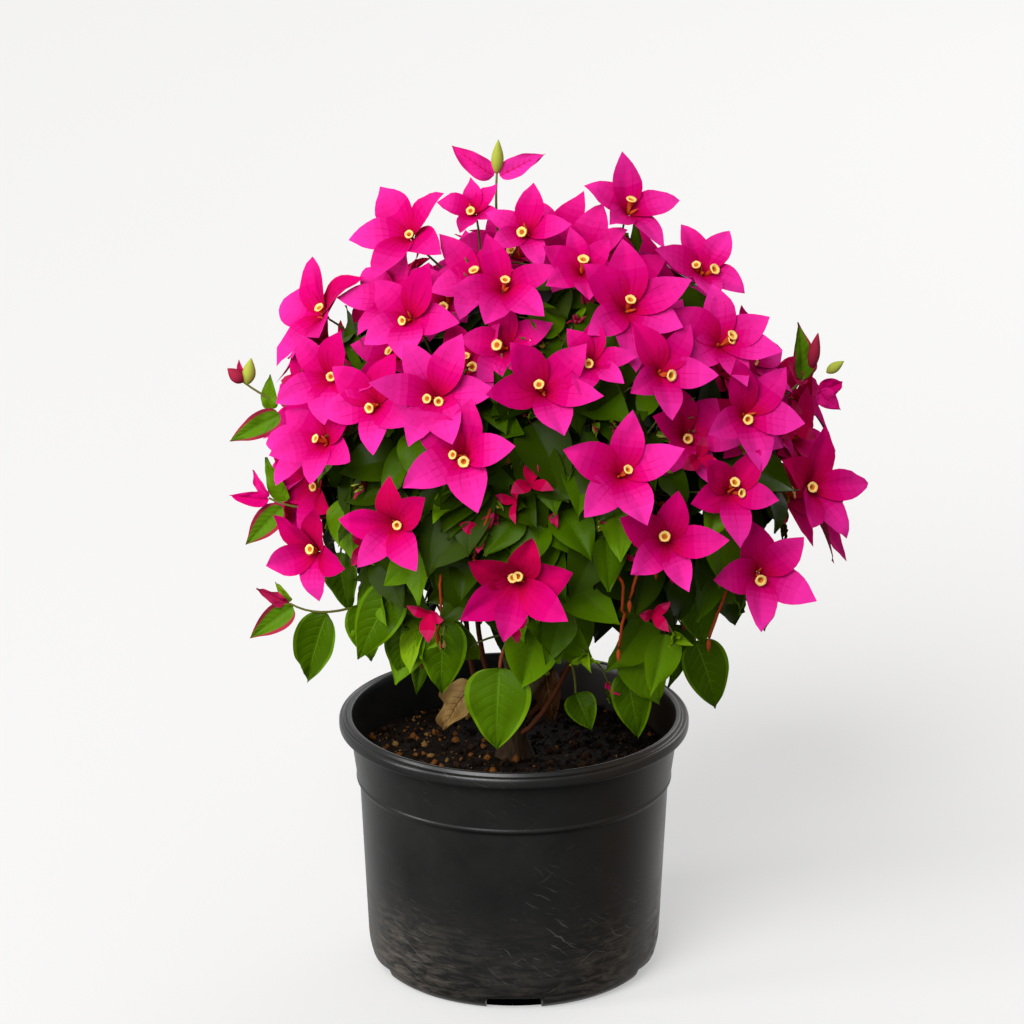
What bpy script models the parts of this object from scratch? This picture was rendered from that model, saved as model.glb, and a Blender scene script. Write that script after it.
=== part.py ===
# A bougainvillea bush in its round nursery pot: pot, soil, trunk, boughs and masses of foliage.
# Metres, +Z up. The origin is the middle of the pot's flat underside, and -Y is the front.

import math
import random
from collections import namedtuple

import bmesh
import bpy
from mathutils import Matrix, Vector
from mathutils.bvhtree import BVHTree

OBJECT_NAME = "potted_bougainvillea"
GAP = 0.0003  # clearance between neighbouring solids

# Pot
RIM_RADIUS = 0.115
POT_HEIGHT = 0.174
COLLAR_RADIUS = 0.1063  # just under the rim
COLLAR_FOOT_RADIUS = 0.1037
COLLAR_FOOT = 0.131  # height at which the collar steps in to the body
BODY_TOP_RADIUS = 0.1017
BODY_TOP = 0.125
BODY_FOOT_RADIUS = 0.0962
BODY_FOOT = 0.016
FOOT_RADIUS = 0.0870
WALL = 0.0022
FLOOR = 0.0030
POT_STEPS = 36
NOTCHES = 5
NOTCH_WIDTH = 0.036
NOTCH_HEIGHT = 0.007
NOTCH_INNER = 0.084
NOTCH_OUTER = 0.106

# Soil
SOIL_TOP = 0.146
SOIL_SINK = 0.0025  # how much lower the soil lies at the wall
SOIL_FLAT_RADIUS = 0.036

# Trunk
TRUNK_FOOT = (0.000, -0.008)
TRUNK_FORK = Vector((0.008, -0.004, 0.222))
TRUNK_RADIUS = 0.0068
TRUNK_TOP_RADIUS = 0.0058
ROOT_FLARE = 0.0062  # added to the radius at the ground
FLARE_HEIGHT = 0.010
TRUNK_STEPS = (0.0, 0.08, 0.20, 0.36, 0.56, 0.78, 1.0)

# Crown: a ball of masses round one centre. Angles are degrees: azimuth 0 is the front, + is to the right.
CROWN_CENTRE = Vector((0.026, 0.0, 0.360))
CROWN_RADIUS = 0.172
LIGHT = Vector((0.0, -0.84, 0.54))  # blooms turn towards it
LIGHT_PULL = 0.9

# Boughs
BOUGH_REACH = 0.48  # of the crown's radius
BOUGH_STEPS = 5
MAIN_RADII = (0.0034, 0.0022)
MAIN_LEAVE = 50  # degrees above level at which a main bough leaves the trunk
SIDE_TIP_RADIUS = 0.0019
ROOT_SHARE = 0.74  # a bough's radius at its root, as a share of what it grows from
SIDE_RISE = 12  # degrees above half its mass's elevation at which a side bough leaves
LEAVE_PULL = 0.42  # how far a bough keeps its first heading, as a share of its span
ARRIVE_PULL = 0.30

# Twigs, leaves and blooms
STEM_RADII = (0.0019, 0.0015)
HUB_REACH = 0.64
TWIG_RADII = (0.0013, 0.0009)
TWIG_SIDES = 3
TWIG_REACH = 0.86
LEAF_LENGTH = 0.056
LEAF_WIDTH = 0.60  # of its length
LEAF_THICKNESS = 0.030
LEAF_BELLY = 0.42
STALK = 0.0008
LEAF_PLACES = (0.35, 0.70, 0.985)  # along a twig
LEAF_TURN = 150  # degrees round the twig from one leaf to the next
LEAF_TRIES = ((0, 1.0), (-70, 1.0), (70, 0.9), (180, 0.9), (0, 0.75), (120, 0.7))  # swing, size
BLOOM_RADIUS = 0.034
BLOOM_TOP = 0.0012
BLOOM_BASE = 0.0030
BRACTS = 5
BRACT_OUTLINE = ((-0.50, 0.44, 0.05), (-0.35, 0.70, 0.12), (0.0, 1.0, 0.10), (0.35, 0.70, 0.12))
BLOOM_SIZES = (1.0, 1.0, 0.94, 0.94, 0.88, 0.88, 0.82, 0.82, 0.76, 0.70, 0.62, 0.54)
BLOOM_SINK = 0.08  # how far behind the ball's surface a bloom's middle lies, of its radius
GOLDEN_TURN = 137.5
TWIG_SPREAD = (6, 15)  # degrees off the mass's axis: the least, and what is added towards the last twig
STEM_RISE = 30  # degrees above level at which a low mass's stem leaves the trunk
SEED = 7

# The masses of foliage. Each has the azimuth, elevation and reach of its axis, what it grows from and how
# far along that, its blooms (their number, how many degrees they stand off the axis, and the turn of the
# first), its leafy twigs, and how much its leaves hang. A raised mass that grows from the trunk has a main
# bough, any other raised mass a side bough, and a low one only a stem.
Mass = namedtuple("Mass", "azimuth elevation reach parent fork blooms ring first twigs droop")
MASSES = {
    "top_left": Mass(-72, 64, 0.98, "trunk", 0.97, 2, 8, 235, 2, 0.2),
    "top_front": Mass(-8, 61, 0.98, "trunk", 0.75, 3, 10, 110, 4, 0.2),
    "top_right": Mass(58, 61, 1.00, "trunk", 0.53, 2, 10, 96, 4, 0.2),
    "top_back_right": Mass(128, 56, 0.98, "trunk", 0.84, 2, 11, 30, 3, 0.2),
    "top_back_left": Mass(-150, 56, 0.98, "trunk", 0.64, 3, 11, 80, 2, 0.2),
    "left_shoulder": Mass(-72, 28, 1.00, "top_left", 0.56, 2, 11, 158, 2, 0.3),
    "left_side": Mass(-64, -4, 0.97, "top_left", 0.34, 2, 15, 71, 3, 0.5),
    "front_left_high": Mass(-47, 32, 0.97, "top_left", 0.72, 2, 10, 92, 5, 0.3),
    "front_left": Mass(-25, 21, 0.98, "top_front", 0.52, 2, 7, 126, 5, 0.4),
    "front_high": Mass(6, 21, 0.99, "top_front", 0.60, 2, 12, 131, 5, 0.4),
    "front_right_high": Mass(20, 39, 0.97, "top_front", 0.76, 3, 9, 75, 5, 0.3),
    "right_shoulder": Mass(48, 27, 0.99, "top_right", 0.62, 2, 8, 90, 6, 0.3),
    "front_low_left": Mass(-37, -3, 0.97, "top_front", 0.36, 1, 0, 0, 6, 0.6),
    "front_low": Mass(-8, -12, 0.98, "top_front", 0.24, 1, 0, 0, 4, 0.6),
    "front_low_right": Mass(32, 0, 0.99, "top_right", 0.40, 2, 9, 207, 5, 0.5),
    "right_low": Mass(58, -9, 1.03, "top_right", 0.26, 2, 11, 220, 4, 0.5),
    "right_high": Mass(92, 31, 1.00, "top_back_right", 0.62, 2, 10, 20, 3, 0.3),
    "right_side": Mass(98, -4, 1.00, "top_back_right", 0.32, 2, 12, 70, 4, 0.5),
    "back_right": Mass(138, 16, 0.98, "top_back_right", 0.48, 3, 13, 40, 2, 0.4),
    "back_high": Mass(180, 24, 0.98, "top_back_left", 0.64, 3, 13, 100, 2, 0.4),
    "back_low": Mass(165, -12, 0.97, "top_back_left", 0.26, 2, 14, 10, 3, 0.6),
    "left_back_high": Mass(-116, 29, 0.98, "top_back_left", 0.54, 3, 12, 60, 3, 0.3),
    "left_back": Mass(-106, -8, 0.97, "top_back_left", 0.38, 2, 13, 120, 3, 0.5),
    "back_left_low": Mass(-146, -8, 0.97, "top_back_left", 0.16, 2, 13, 150, 2, 0.6),
    "skirt_front": Mass(-6, -52, 1.08, "trunk", 0.34, 0, 0, 0, 4, 1.0),
    "skirt_left": Mass(-66, -43, 1.06, "trunk", 0.22, 0, 0, 0, 3, 1.0),
    "skirt_right": Mass(44, -47, 1.10, "trunk", 0.26, 0, 0, 0, 4, 1.0),
    "skirt_back_right": Mass(106, -44, 1.06, "trunk", 0.38, 0, 0, 0, 3, 1.0),
    "skirt_back": Mass(168, -46, 1.04, "trunk", 0.30, 0, 0, 0, 3, 1.0),
    "skirt_back_left": Mass(-124, -44, 1.05, "trunk", 0.42, 0, 0, 0, 4, 1.0),
}

# Young shoots that stand out past the ball: azimuth, elevation and reach of the tip. Their leaves: place
# along the shoot, size and turn.
SHOOTS = {
    "top_left": (-92, 80, 1.17),
    "left_shoulder": (-82, 16, 1.20),
    "left_side": (-82, -10, 1.13),
    "skirt_left": (-80, -28, 1.16),
    "right_high": (82, 22, 1.06),
}
SHOOT_LEAVES = ((0.985, 0.55, 20), (0.985, 0.55, 200), (0.86, 0.80, 110), (0.74, 0.90, 290))


def direction(azimuth, elevation):
    """The unit vector at these angles, seen from the crown's centre."""
    turn = math.radians(azimuth)
    rise = math.radians(elevation)
    flat = math.cos(rise)
    return Vector((math.sin(turn) * flat, -math.cos(turn) * flat, math.sin(rise)))


def around(axis, spread, turn):
    """The axis swung away by spread degrees, to the side that turn gives: 0 is right and 90 is up."""
    east = Vector((0, 0, 1)).cross(axis).normalized()
    north = axis.cross(east)
    side = east * math.cos(math.radians(turn)) + north * math.sin(math.radians(turn))
    return axis * math.cos(math.radians(spread)) + side * math.sin(math.radians(spread))


def in_crown(unit, reach):
    """The point that lies at this share of the crown's radius along a direction."""
    return CROWN_CENTRE + unit * (CROWN_RADIUS * reach)


def axis_of(name):
    return direction(MASSES[name].azimuth, MASSES[name].elevation)


def bloom_ways(name):
    """The directions of a mass's blooms, which stand evenly on a ring round its axis."""
    row = MASSES[name]
    turns = [row.first + 360 * index / row.blooms for index in range(row.blooms)]
    return [around(axis_of(name), row.ring, turn) for turn in turns]


def seeds(name):
    """The ways that a mass's axis, blooms and shoot point."""
    ways = [axis_of(name)] + bloom_ways(name)
    if name in SHOOTS:
        ways.append(direction(*SHOOTS[name][:2]))
    return ways


def new_collection(name):
    made = bpy.data.collections.new(name)
    bpy.context.scene.collection.children.link(made)
    return made


def surface(name, colour, roughness):
    """A plain finish with no metal in it."""
    material = bpy.data.materials.new(name)
    material.use_nodes = True
    shader = material.node_tree.nodes["Principled BSDF"]
    shader.inputs["Base Color"].default_value = (*colour, 1.0)
    shader.inputs["Roughness"].default_value = roughness
    shader.inputs["Metallic"].default_value = 0.0
    material.diffuse_color = (*colour, 1.0)
    return material


def as_object(name, mesh, collection, *materials):
    made = bpy.data.objects.new(name, mesh)
    collection.objects.link(made)
    for material in materials:
        mesh.materials.append(material)
    return made


def mark_cutter(helper):
    helper.hide_render = True
    helper.display_type = "WIRE"


def cut(target, cutter):
    modifier = target.modifiers.new("cut", "BOOLEAN")
    modifier.operation = "DIFFERENCE"
    modifier.solver = "EXACT"
    modifier.object = cutter


def turned(name, profile, collection, material):
    """A solid of revolution: the profile's two ends lie on the axis."""
    mesh = bpy.data.meshes.new(name)
    edges = [(index, index + 1) for index in range(len(profile) - 1)]
    mesh.from_pydata([(radius, 0.0, height) for radius, height in profile], edges, [])
    made = as_object(name, mesh, collection, material)
    screw = made.modifiers.new("turn", "SCREW")
    screw.axis = "Z"
    screw.steps = POT_STEPS
    screw.render_steps = POT_STEPS
    screw.use_merge_vertices = True
    screw.merge_threshold = 0.0001
    screw.use_smooth_shade = True
    return made


def inner_radius(height):
    """The pot's inner face: the body's straight taper less the wall, to the collar's step."""
    share = (height - BODY_FOOT) / (BODY_TOP - BODY_FOOT)
    return BODY_FOOT_RADIUS + (BODY_TOP_RADIUS - BODY_FOOT_RADIUS) * share - WALL


def make_pot(collection, cutters):
    lip = RIM_RADIUS
    profile = [
        (0.0, FLOOR),
        (inner_radius(FLOOR) - 0.006, FLOOR),
        (inner_radius(BODY_FOOT), BODY_FOOT),
        (inner_radius(BODY_TOP), BODY_TOP),
        (COLLAR_FOOT_RADIUS - WALL, COLLAR_FOOT),
        (COLLAR_RADIUS - WALL, POT_HEIGHT - 0.0045),
        (lip - 0.0080, POT_HEIGHT - 0.0004),
        (lip - 0.0055, POT_HEIGHT),
        (lip - 0.0040, POT_HEIGHT - 0.0024),
        (lip - 0.0012, POT_HEIGHT - 0.0022),
        (lip, POT_HEIGHT - 0.0040),
        (lip, POT_HEIGHT - 0.0082),
        (COLLAR_RADIUS, POT_HEIGHT - 0.0094),
        (COLLAR_FOOT_RADIUS, COLLAR_FOOT),
        (BODY_TOP_RADIUS, BODY_TOP),
        (BODY_FOOT_RADIUS, BODY_FOOT),
        (BODY_FOOT_RADIUS - 0.0030, 0.0050),
        (FOOT_RADIUS, 0.0),
        (0.0, 0.0),
    ]
    pot = turned("pot", profile, collection, surface("pot plastic", (0.020, 0.020, 0.021), 0.42))
    length = NOTCH_OUTER - NOTCH_INNER
    for index in range(NOTCHES):
        turn = Matrix.Rotation(2 * math.pi * index / NOTCHES, 4, "Z")
        place = Matrix.Translation((0.0, -(NOTCH_INNER + NOTCH_OUTER) / 2, 0.0))
        size = Matrix.Diagonal((NOTCH_WIDTH, length, 2 * NOTCH_HEIGHT, 1.0))
        box = bmesh.new()
        bmesh.ops.create_cube(box, size=1.0, matrix=turn @ place @ size)
        mesh = bpy.data.meshes.new(f"notch {index + 1}")
        box.to_mesh(mesh)
        box.free()
        notch = as_object(mesh.name, mesh, cutters)
        mark_cutter(notch)
        cut(pot, notch)
    return pot


def make_soil(collection):
    """The potting soil: it fills the pot to a flat middle that sinks a little towards the wall."""
    rim = SOIL_TOP - SOIL_SINK
    wall = COLLAR_FOOT_RADIUS + (COLLAR_RADIUS - COLLAR_FOOT_RADIUS) * 0.3 - WALL - GAP
    profile = [
        (0.0, SOIL_TOP),
        (SOIL_FLAT_RADIUS, SOIL_TOP),
        (SOIL_FLAT_RADIUS * 1.9, SOIL_TOP - SOIL_SINK * 0.3),
        (wall - 0.008, rim - 0.0010),
        (wall, rim),
        (inner_radius(BODY_TOP) - GAP, BODY_TOP),
        (inner_radius(BODY_FOOT) - GAP, BODY_FOOT),
        (inner_radius(FLOOR) - 0.006 - GAP * 2, FLOOR + GAP),
        (0.0, FLOOR + GAP),
    ]
    return turned("soil", profile, collection, surface("soil crumbs", (0.012, 0.007, 0.003), 0.95))


def bend(start, leaving, end, arriving, steps):
    """Points along the cubic curve that leaves start with one heading and reaches end with the other."""
    span = (end - start).length
    near = start + leaving.normalized() * (span * LEAVE_PULL)
    far = end - arriving.normalized() * (span * ARRIVE_PULL)
    points = []
    for index in range(steps + 1):
        share = index / steps
        rest = 1 - share
        early = start * rest**3 + near * (3 * rest**2 * share)
        points.append(early + far * (3 * rest * share**2) + end * share**3)
    return points


def along(values, share):
    """The point, or the radius, at this share of the way along a list of them."""
    place = share * (len(values) - 1)
    index = min(int(place), len(values) - 2)
    rest = place - index
    return values[index] * (1 - rest) + values[index + 1] * rest


def tube(name, points, radii, sides_setting, collection, *materials):
    """A round tapering tube along the points, as a welded mesh with closed ends."""
    curve = bpy.data.curves.new(name, "CURVE")
    curve.dimensions = "3D"
    curve.bevel_depth = 1.0
    curve.bevel_resolution = sides_setting
    curve.use_fill_caps = True
    spline = curve.splines.new("POLY")
    spline.points.add(len(points) - 1)
    for knot, point, radius in zip(spline.points, points, radii):
        knot.co = (*point, 1.0)
        knot.radius = radius
    guide = bpy.data.objects.new(name, curve)
    collection.objects.link(guide)
    graph = bpy.context.evaluated_depsgraph_get()
    mesh = bpy.data.meshes.new_from_object(guide.evaluated_get(graph))
    bpy.data.objects.remove(guide)
    bpy.data.curves.remove(curve)
    welded = bmesh.new()
    welded.from_mesh(mesh)
    bmesh.ops.remove_doubles(welded, verts=welded.verts, dist=0.00001)
    bmesh.ops.recalc_face_normals(welded, faces=welded.faces)
    welded.to_mesh(mesh)
    welded.free()
    mesh.name = name
    mesh.shade_smooth()
    return as_object(name, mesh, collection, *materials)


def limb(name, points, radii, sides_setting, collection, cutters, parent=None):
    """A limb and its sleeve, which is GAP wider and clears whatever comes near. The parent's sleeve
    cuts the limb's root."""
    bark = surface(f"{name} bark", (0.085, 0.060, 0.036), 0.85)
    made = tube(name, points, radii, sides_setting, collection, bark)
    longer = points[:-1] + [points[-1] + (points[-1] - points[-2]).normalized() * GAP]
    sleeve = tube(f"{name} sleeve", longer, [radius + GAP for radius in radii], sides_setting, cutters)
    mark_cutter(sleeve)
    if parent:
        cut(made, parent)
    return sleeve


def taper(radii, count):
    return [radii[0] + (radii[1] - radii[0]) * index / (count - 1) for index in range(count)]


def trunk_line():
    """The trunk's points: upright at the ground, then leaning over to the fork."""
    foot = Vector((*TRUNK_FOOT, SOIL_TOP + GAP))
    control = Vector((*TRUNK_FOOT, TRUNK_FORK.z * 0.55 + foot.z * 0.45))
    points = []
    for share in TRUNK_STEPS:
        points.append(foot.lerp(control, share).lerp(control.lerp(TRUNK_FORK, share), share))
    points[1].xy = foot.xy
    return points


def trunk_radii(points):
    """A slow taper, with a flare that dies away above the ground."""
    radii = []
    for share, point in zip(TRUNK_STEPS, points):
        flare = ROOT_FLARE * math.exp(-(point.z - points[0].z) / FLARE_HEIGHT)
        radii.append(TRUNK_RADIUS + (TRUNK_TOP_RADIUS - TRUNK_RADIUS) * share + flare)
    return radii


def make_limbs(collection, cutters):
    """The trunk and one bough for each raised mass. Gives their lines and their sleeves."""
    lines = {"trunk": trunk_line()}
    widths = {"trunk": trunk_radii(lines["trunk"])}
    sleeves = {"trunk": limb("trunk", lines["trunk"], widths["trunk"], 3, collection, cutters)}
    for name, row in MASSES.items():
        if row.parent == "trunk" and row.elevation < 0:
            continue
        if row.parent == "trunk":
            leaving = direction(row.azimuth, MAIN_LEAVE)
            sizes = MAIN_RADII
        else:
            leaving = direction(row.azimuth, row.elevation / 2 + SIDE_RISE)
            sizes = (along(widths[row.parent], row.fork) * ROOT_SHARE, SIDE_TIP_RADIUS)
        start = along(lines[row.parent], row.fork)
        end = in_crown(axis_of(name), BOUGH_REACH)
        lines[name] = bend(start, leaving, end, axis_of(name), BOUGH_STEPS)
        widths[name] = taper(sizes, BOUGH_STEPS + 1)
        sleeves[name] = limb(
            f"bough_{name}", lines[name], widths[name], 1, collection, cutters, sleeves[row.parent]
        )
    return lines, sleeves


class Space:
    """A mass's own space in the crown, and the solids that have found room in it. A place belongs to the
    mass one of whose seeds, the ways that its axis, blooms and shoot point, is nearest to it."""

    grown = {}  # the search trees of every mass's solids

    def __init__(self, name, obstacles):
        self.name = name
        self.obstacles = obstacles
        self.parts = new_collection(f"{name} parts")
        self.blades = []
        self.own = seeds(name)
        self.others = [seed for other in MASSES if other != name for seed in seeds(other)]
        Space.grown[name] = []

    def owns(self, point):
        place = point - CROWN_CENTRE
        mine = max(self.own, key=place.dot)
        return all(place.dot(mine - other) > GAP / 2 * (mine - other).length for other in self.others)

    def holds(self, solid, apart):
        """True where the solid is in this space, and touches no limb, pot or other mass. Where apart is
        set, it also keeps off the mass's own leaves and blooms."""
        corners = [vertex.co for vertex in solid.verts]
        middles = [(edge.verts[0].co + edge.verts[1].co) / 2 for edge in solid.edges]
        if not all(self.owns(point) for point in corners + middles):
            return False
        strangers = [tree for name, trees in Space.grown.items() if name != self.name for tree in trees]
        if apart:
            strangers += self.blades
        tree = BVHTree.FromBMesh(solid)
        return not any(other.overlap(tree) for other in self.obstacles + strangers)

    def add(self, solid, materials, flat=True, apart=True):
        """Takes a solid in if there is room for it, and says whether there was."""
        fits = self.holds(solid, apart)
        if fits:
            mesh = bpy.data.meshes.new("piece")
            bmesh.ops.recalc_face_normals(solid, faces=solid.faces)
            solid.to_mesh(mesh)
            as_object("piece", mesh, self.parts, *materials)
            tree = BVHTree.FromBMesh(solid)
            Space.grown[self.name].append(tree)
            if flat:
                self.blades.append(tree)
        solid.free()
        return fits


def stick(start, end):
    """A straight tapering twig."""
    solid = bmesh.new()
    line = end - start
    turn = line.to_track_quat("Z", "Y").to_matrix().to_4x4()
    bmesh.ops.create_cone(
        solid,
        cap_ends=True,
        segments=TWIG_SIDES,
        radius1=TWIG_RADII[0],
        radius2=TWIG_RADII[1],
        depth=line.length,
        matrix=Matrix.Translation(start.lerp(end, 0.5)) @ turn,
    )
    return solid


def leaf(root, heading, face, length):
    """A leaf: a square stalk at its root, its widest section at the belly, and a pointed tip."""
    across = heading.cross(face).normalized()
    normal = across.cross(heading).normalized()
    belly = root + heading * (length * LEAF_BELLY)
    half_width = length * LEAF_WIDTH / 2
    half_depth = length * LEAF_THICKNESS / 2
    solid = bmesh.new()
    rings = []
    for centre, wide, deep in ((root, STALK, STALK), (belly, half_width, half_depth)):
        corners = (across * wide, normal * deep, across * -wide, normal * -deep)
        rings.append([solid.verts.new(centre + corner) for corner in corners])
    tip = solid.verts.new(root + heading * length)
    solid.faces.new(rings[0])
    for index in range(4):
        following = (index + 1) % 4
        solid.faces.new((rings[0][following], rings[0][index], rings[1][index], rings[1][following]))
        solid.faces.new((rings[1][following], rings[1][index], tip))
    bmesh.ops.triangulate(solid, faces=solid.faces)
    return solid


def bloom(start, place, normal, radius, spin):
    """A star of pointed bracts, slightly cupped, on a three-sided twig. The outline's points join to one
    centre above, and below to the twig's last ring."""
    east = Vector((0, 0, 1)).cross(normal).normalized()
    north = normal.cross(east)
    solid = bmesh.new()
    outline = []
    for bract in range(BRACTS):
        for turn, reach, lift in BRACT_OUTLINE:
            angle = 2 * math.pi * (bract + turn) / BRACTS + math.radians(spin)
            side = east * math.cos(angle) + north * math.sin(angle)
            outline.append(solid.verts.new(place + side * (radius * reach) + normal * (radius * lift)))
    centre = solid.verts.new(place + normal * BLOOM_TOP)
    neck = place - normal * BLOOM_BASE
    line = (neck - start).normalized()
    rings = []
    for middle, size in ((start, TWIG_RADII[0]), (neck, TWIG_RADII[1])):
        ring = []
        for index in range(TWIG_SIDES):
            angle = 2 * math.pi * index / TWIG_SIDES + math.radians(spin)
            side = east * math.cos(angle) + north * math.sin(angle)
            ring.append(solid.verts.new(middle + (side - line * side.dot(line)).normalized() * size))
        rings.append(ring)
    count = len(outline)
    for index, corner in enumerate(outline):
        following = outline[(index + 1) % count]
        near = rings[1][index * TWIG_SIDES // count]
        next_near = rings[1][((index + 1) * TWIG_SIDES // count) % TWIG_SIDES]
        solid.faces.new((centre, corner, following))
        solid.faces.new((near, following, corner))
        if near != next_near:
            solid.faces.new((near, next_near, following))
    for index in range(TWIG_SIDES):
        following = (index + 1) % TWIG_SIDES
        side = (rings[0][index], rings[0][following], rings[1][following], rings[1][index])
        solid.faces.new(side).material_index = 1
    solid.faces.new(rings[0][::-1])
    bmesh.ops.triangulate(solid, faces=solid.faces)
    return solid


def facing(unit, azimuth):
    """The way a bloom looks: outwards, and at the front also towards the light."""
    pull = LIGHT_PULL * (0.5 + 0.5 * math.cos(math.radians(azimuth)))
    return (unit + LIGHT * pull).normalized()


def grow_blooms(space, hub, dice, finishes):
    """Each bloom stands on a twig of its own, as large as the room for it allows."""
    row = MASSES[space.name]
    for unit in bloom_ways(space.name):
        normal = facing(unit, row.azimuth)
        place = in_crown(unit, row.reach) - normal * (BLOOM_RADIUS * BLOOM_SINK)
        for size in BLOOM_SIZES:
            solid = bloom(hub, place, normal, BLOOM_RADIUS * size, dice.uniform(0, 360 / BRACTS))
            if space.add(solid, (finishes["bract"], finishes["twig"]), apart=False):
                break


def grow_leaves(space, start, end, unit, dice, finishes):
    """A leafy twig, with leaves to one side of it and the other in turn. A leaf that finds no room tries
    again from another side of the twig, and then smaller."""
    if not space.add(stick(start, end), [finishes["twig"]], flat=False, apart=False):
        return
    hang = Vector((0, 0, -MASSES[space.name].droop))
    twig = (end - start).normalized()
    turn = dice.uniform(0, 360)
    for share in LEAF_PLACES:
        turn += LEAF_TURN + dice.uniform(-20, 20)
        root = start.lerp(end, share)
        length = LEAF_LENGTH * dice.uniform(0.85, 1.08)
        for swing, shrink in LEAF_TRIES:
            side = around(twig, 90, turn + swing)
            heading = (twig * 0.45 + side * 0.8 + hang + unit * 0.15).normalized()
            face = (unit + Vector((0, 0, 0.5)) - heading * 0.2).normalized()
            if space.add(leaf(root, heading, face, length * shrink), [finishes["leaf"]]):
                break


def grow_shoot(space, hub, finishes):
    """A young shoot that stands out past the ball, with small leaves and bracts towards its tip."""
    azimuth, elevation, reach = SHOOTS[space.name]
    unit = direction(azimuth, elevation)
    tip = in_crown(unit, reach)
    if not space.add(stick(hub, tip), [finishes["twig"]], flat=False, apart=False):
        return
    twig = (tip - hub).normalized()
    for share, size, turn in SHOOT_LEAVES:
        heading = (twig * 0.6 + around(twig, 90, turn)).normalized()
        face = (LIGHT + unit * 0.3 + twig.cross(heading) * 0.2).normalized()
        space.add(leaf(hub.lerp(tip, share), heading, face, LEAF_LENGTH * size), [finishes["leaf"]])


def largest_body(mesh):
    """Keeps the largest closed body, which drops loose scraps and fills sealed hollows."""
    solid = bmesh.new()
    solid.from_mesh(mesh)
    unseen = set(solid.verts)
    bodies = []
    while unseen:
        body = set()
        edge = [unseen.pop()]
        while edge:
            vertex = edge.pop()
            body.add(vertex)
            near = {link.other_vert(vertex) for link in vertex.link_edges} & unseen
            unseen -= near
            edge.extend(near)
        bodies.append(body)
    bodies.sort(key=len)
    scraps = [vertex for body in bodies[:-1] for vertex in body]
    bmesh.ops.delete(solid, geom=scraps, context="VERTS")
    bmesh.ops.triangulate(solid, faces=solid.faces)
    closed = all(len(edge.link_faces) == 2 for edge in solid.edges)
    solid.to_mesh(mesh)
    solid.free()
    return closed


def fuse(stem, parts):
    """Joins the stem and everything in the collection into one body, then removes the collection."""
    for solver in ("EXACT", "MANIFOLD"):
        modifier = stem.modifiers.new("join", "BOOLEAN")
        modifier.operation = "UNION"
        modifier.operand_type = "COLLECTION"
        modifier.solver = solver
        modifier.material_mode = "TRANSFER"
        modifier.collection = parts
        graph = bpy.context.evaluated_depsgraph_get()
        mesh = bpy.data.meshes.new_from_object(stem.evaluated_get(graph))
        stem.modifiers.remove(modifier)
        if largest_body(mesh):
            break
    stem.modifiers.clear()
    stem.data = mesh
    for piece in list(parts.objects):
        bpy.data.meshes.remove(piece.data)
    bpy.data.collections.remove(parts)


def make_mass(name, lines, sleeves, obstacles, collection):
    """A stem that goes on from the bough's tip, or from the trunk, to the hub that the twigs spread from."""
    row = MASSES[name]
    dice = random.Random(f"{SEED} {name}")
    axis = axis_of(name)
    hub = in_crown(axis, HUB_REACH)
    finishes = {
        "twig": surface(f"{name} twig", (0.100, 0.110, 0.035), 0.7),
        "leaf": surface(f"{name} leaf", (0.060, 0.130, 0.012), 0.5),
        "bract": surface(f"{name} bract", (0.780, 0.015, 0.300), 0.6),
    }
    if name in lines:
        points = [lines[name][-1], hub]
        parent = sleeves[name]
    else:
        points = bend(along(lines["trunk"], row.fork), direction(row.azimuth, STEM_RISE), hub, axis, 3)
        parent = sleeves["trunk"]
    base = tube(f"mass_{name}", points, taper(STEM_RADII, len(points)), 0, collection, finishes["twig"])
    cut(base, parent)
    space = Space(name, obstacles)
    grow_blooms(space, hub, dice, finishes)
    if name in SHOOTS:
        grow_shoot(space, hub, finishes)
    turn = dice.uniform(0, 360)
    for index in range(row.twigs):
        turn += GOLDEN_TURN
        spread = TWIG_SPREAD[0] + TWIG_SPREAD[1] * math.sqrt((index + 0.5) / row.twigs)
        unit = around(axis, spread, turn)
        end = in_crown(unit, row.reach * TWIG_REACH * dice.uniform(0.90, 1.04))
        root = points[-2].lerp(hub, dice.uniform(0.45, 1.0))
        grow_leaves(space, root, end, unit, dice, finishes)
    fuse(base, space.parts)
    return base


def main():
    for leftover in list(bpy.data.objects):
        bpy.data.objects.remove(leftover)
    parts = new_collection(OBJECT_NAME)
    cutters = new_collection("cutters")
    pot = make_pot(parts, cutters)
    soil = make_soil(parts)
    lines, sleeves = make_limbs(parts, cutters)
    graph = bpy.context.evaluated_depsgraph_get()
    obstacles = [BVHTree.FromObject(each, graph) for each in (pot, soil, *sleeves.values())]
    for name in MASSES:
        make_mass(name, lines, sleeves, obstacles, parts)


main()
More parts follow.
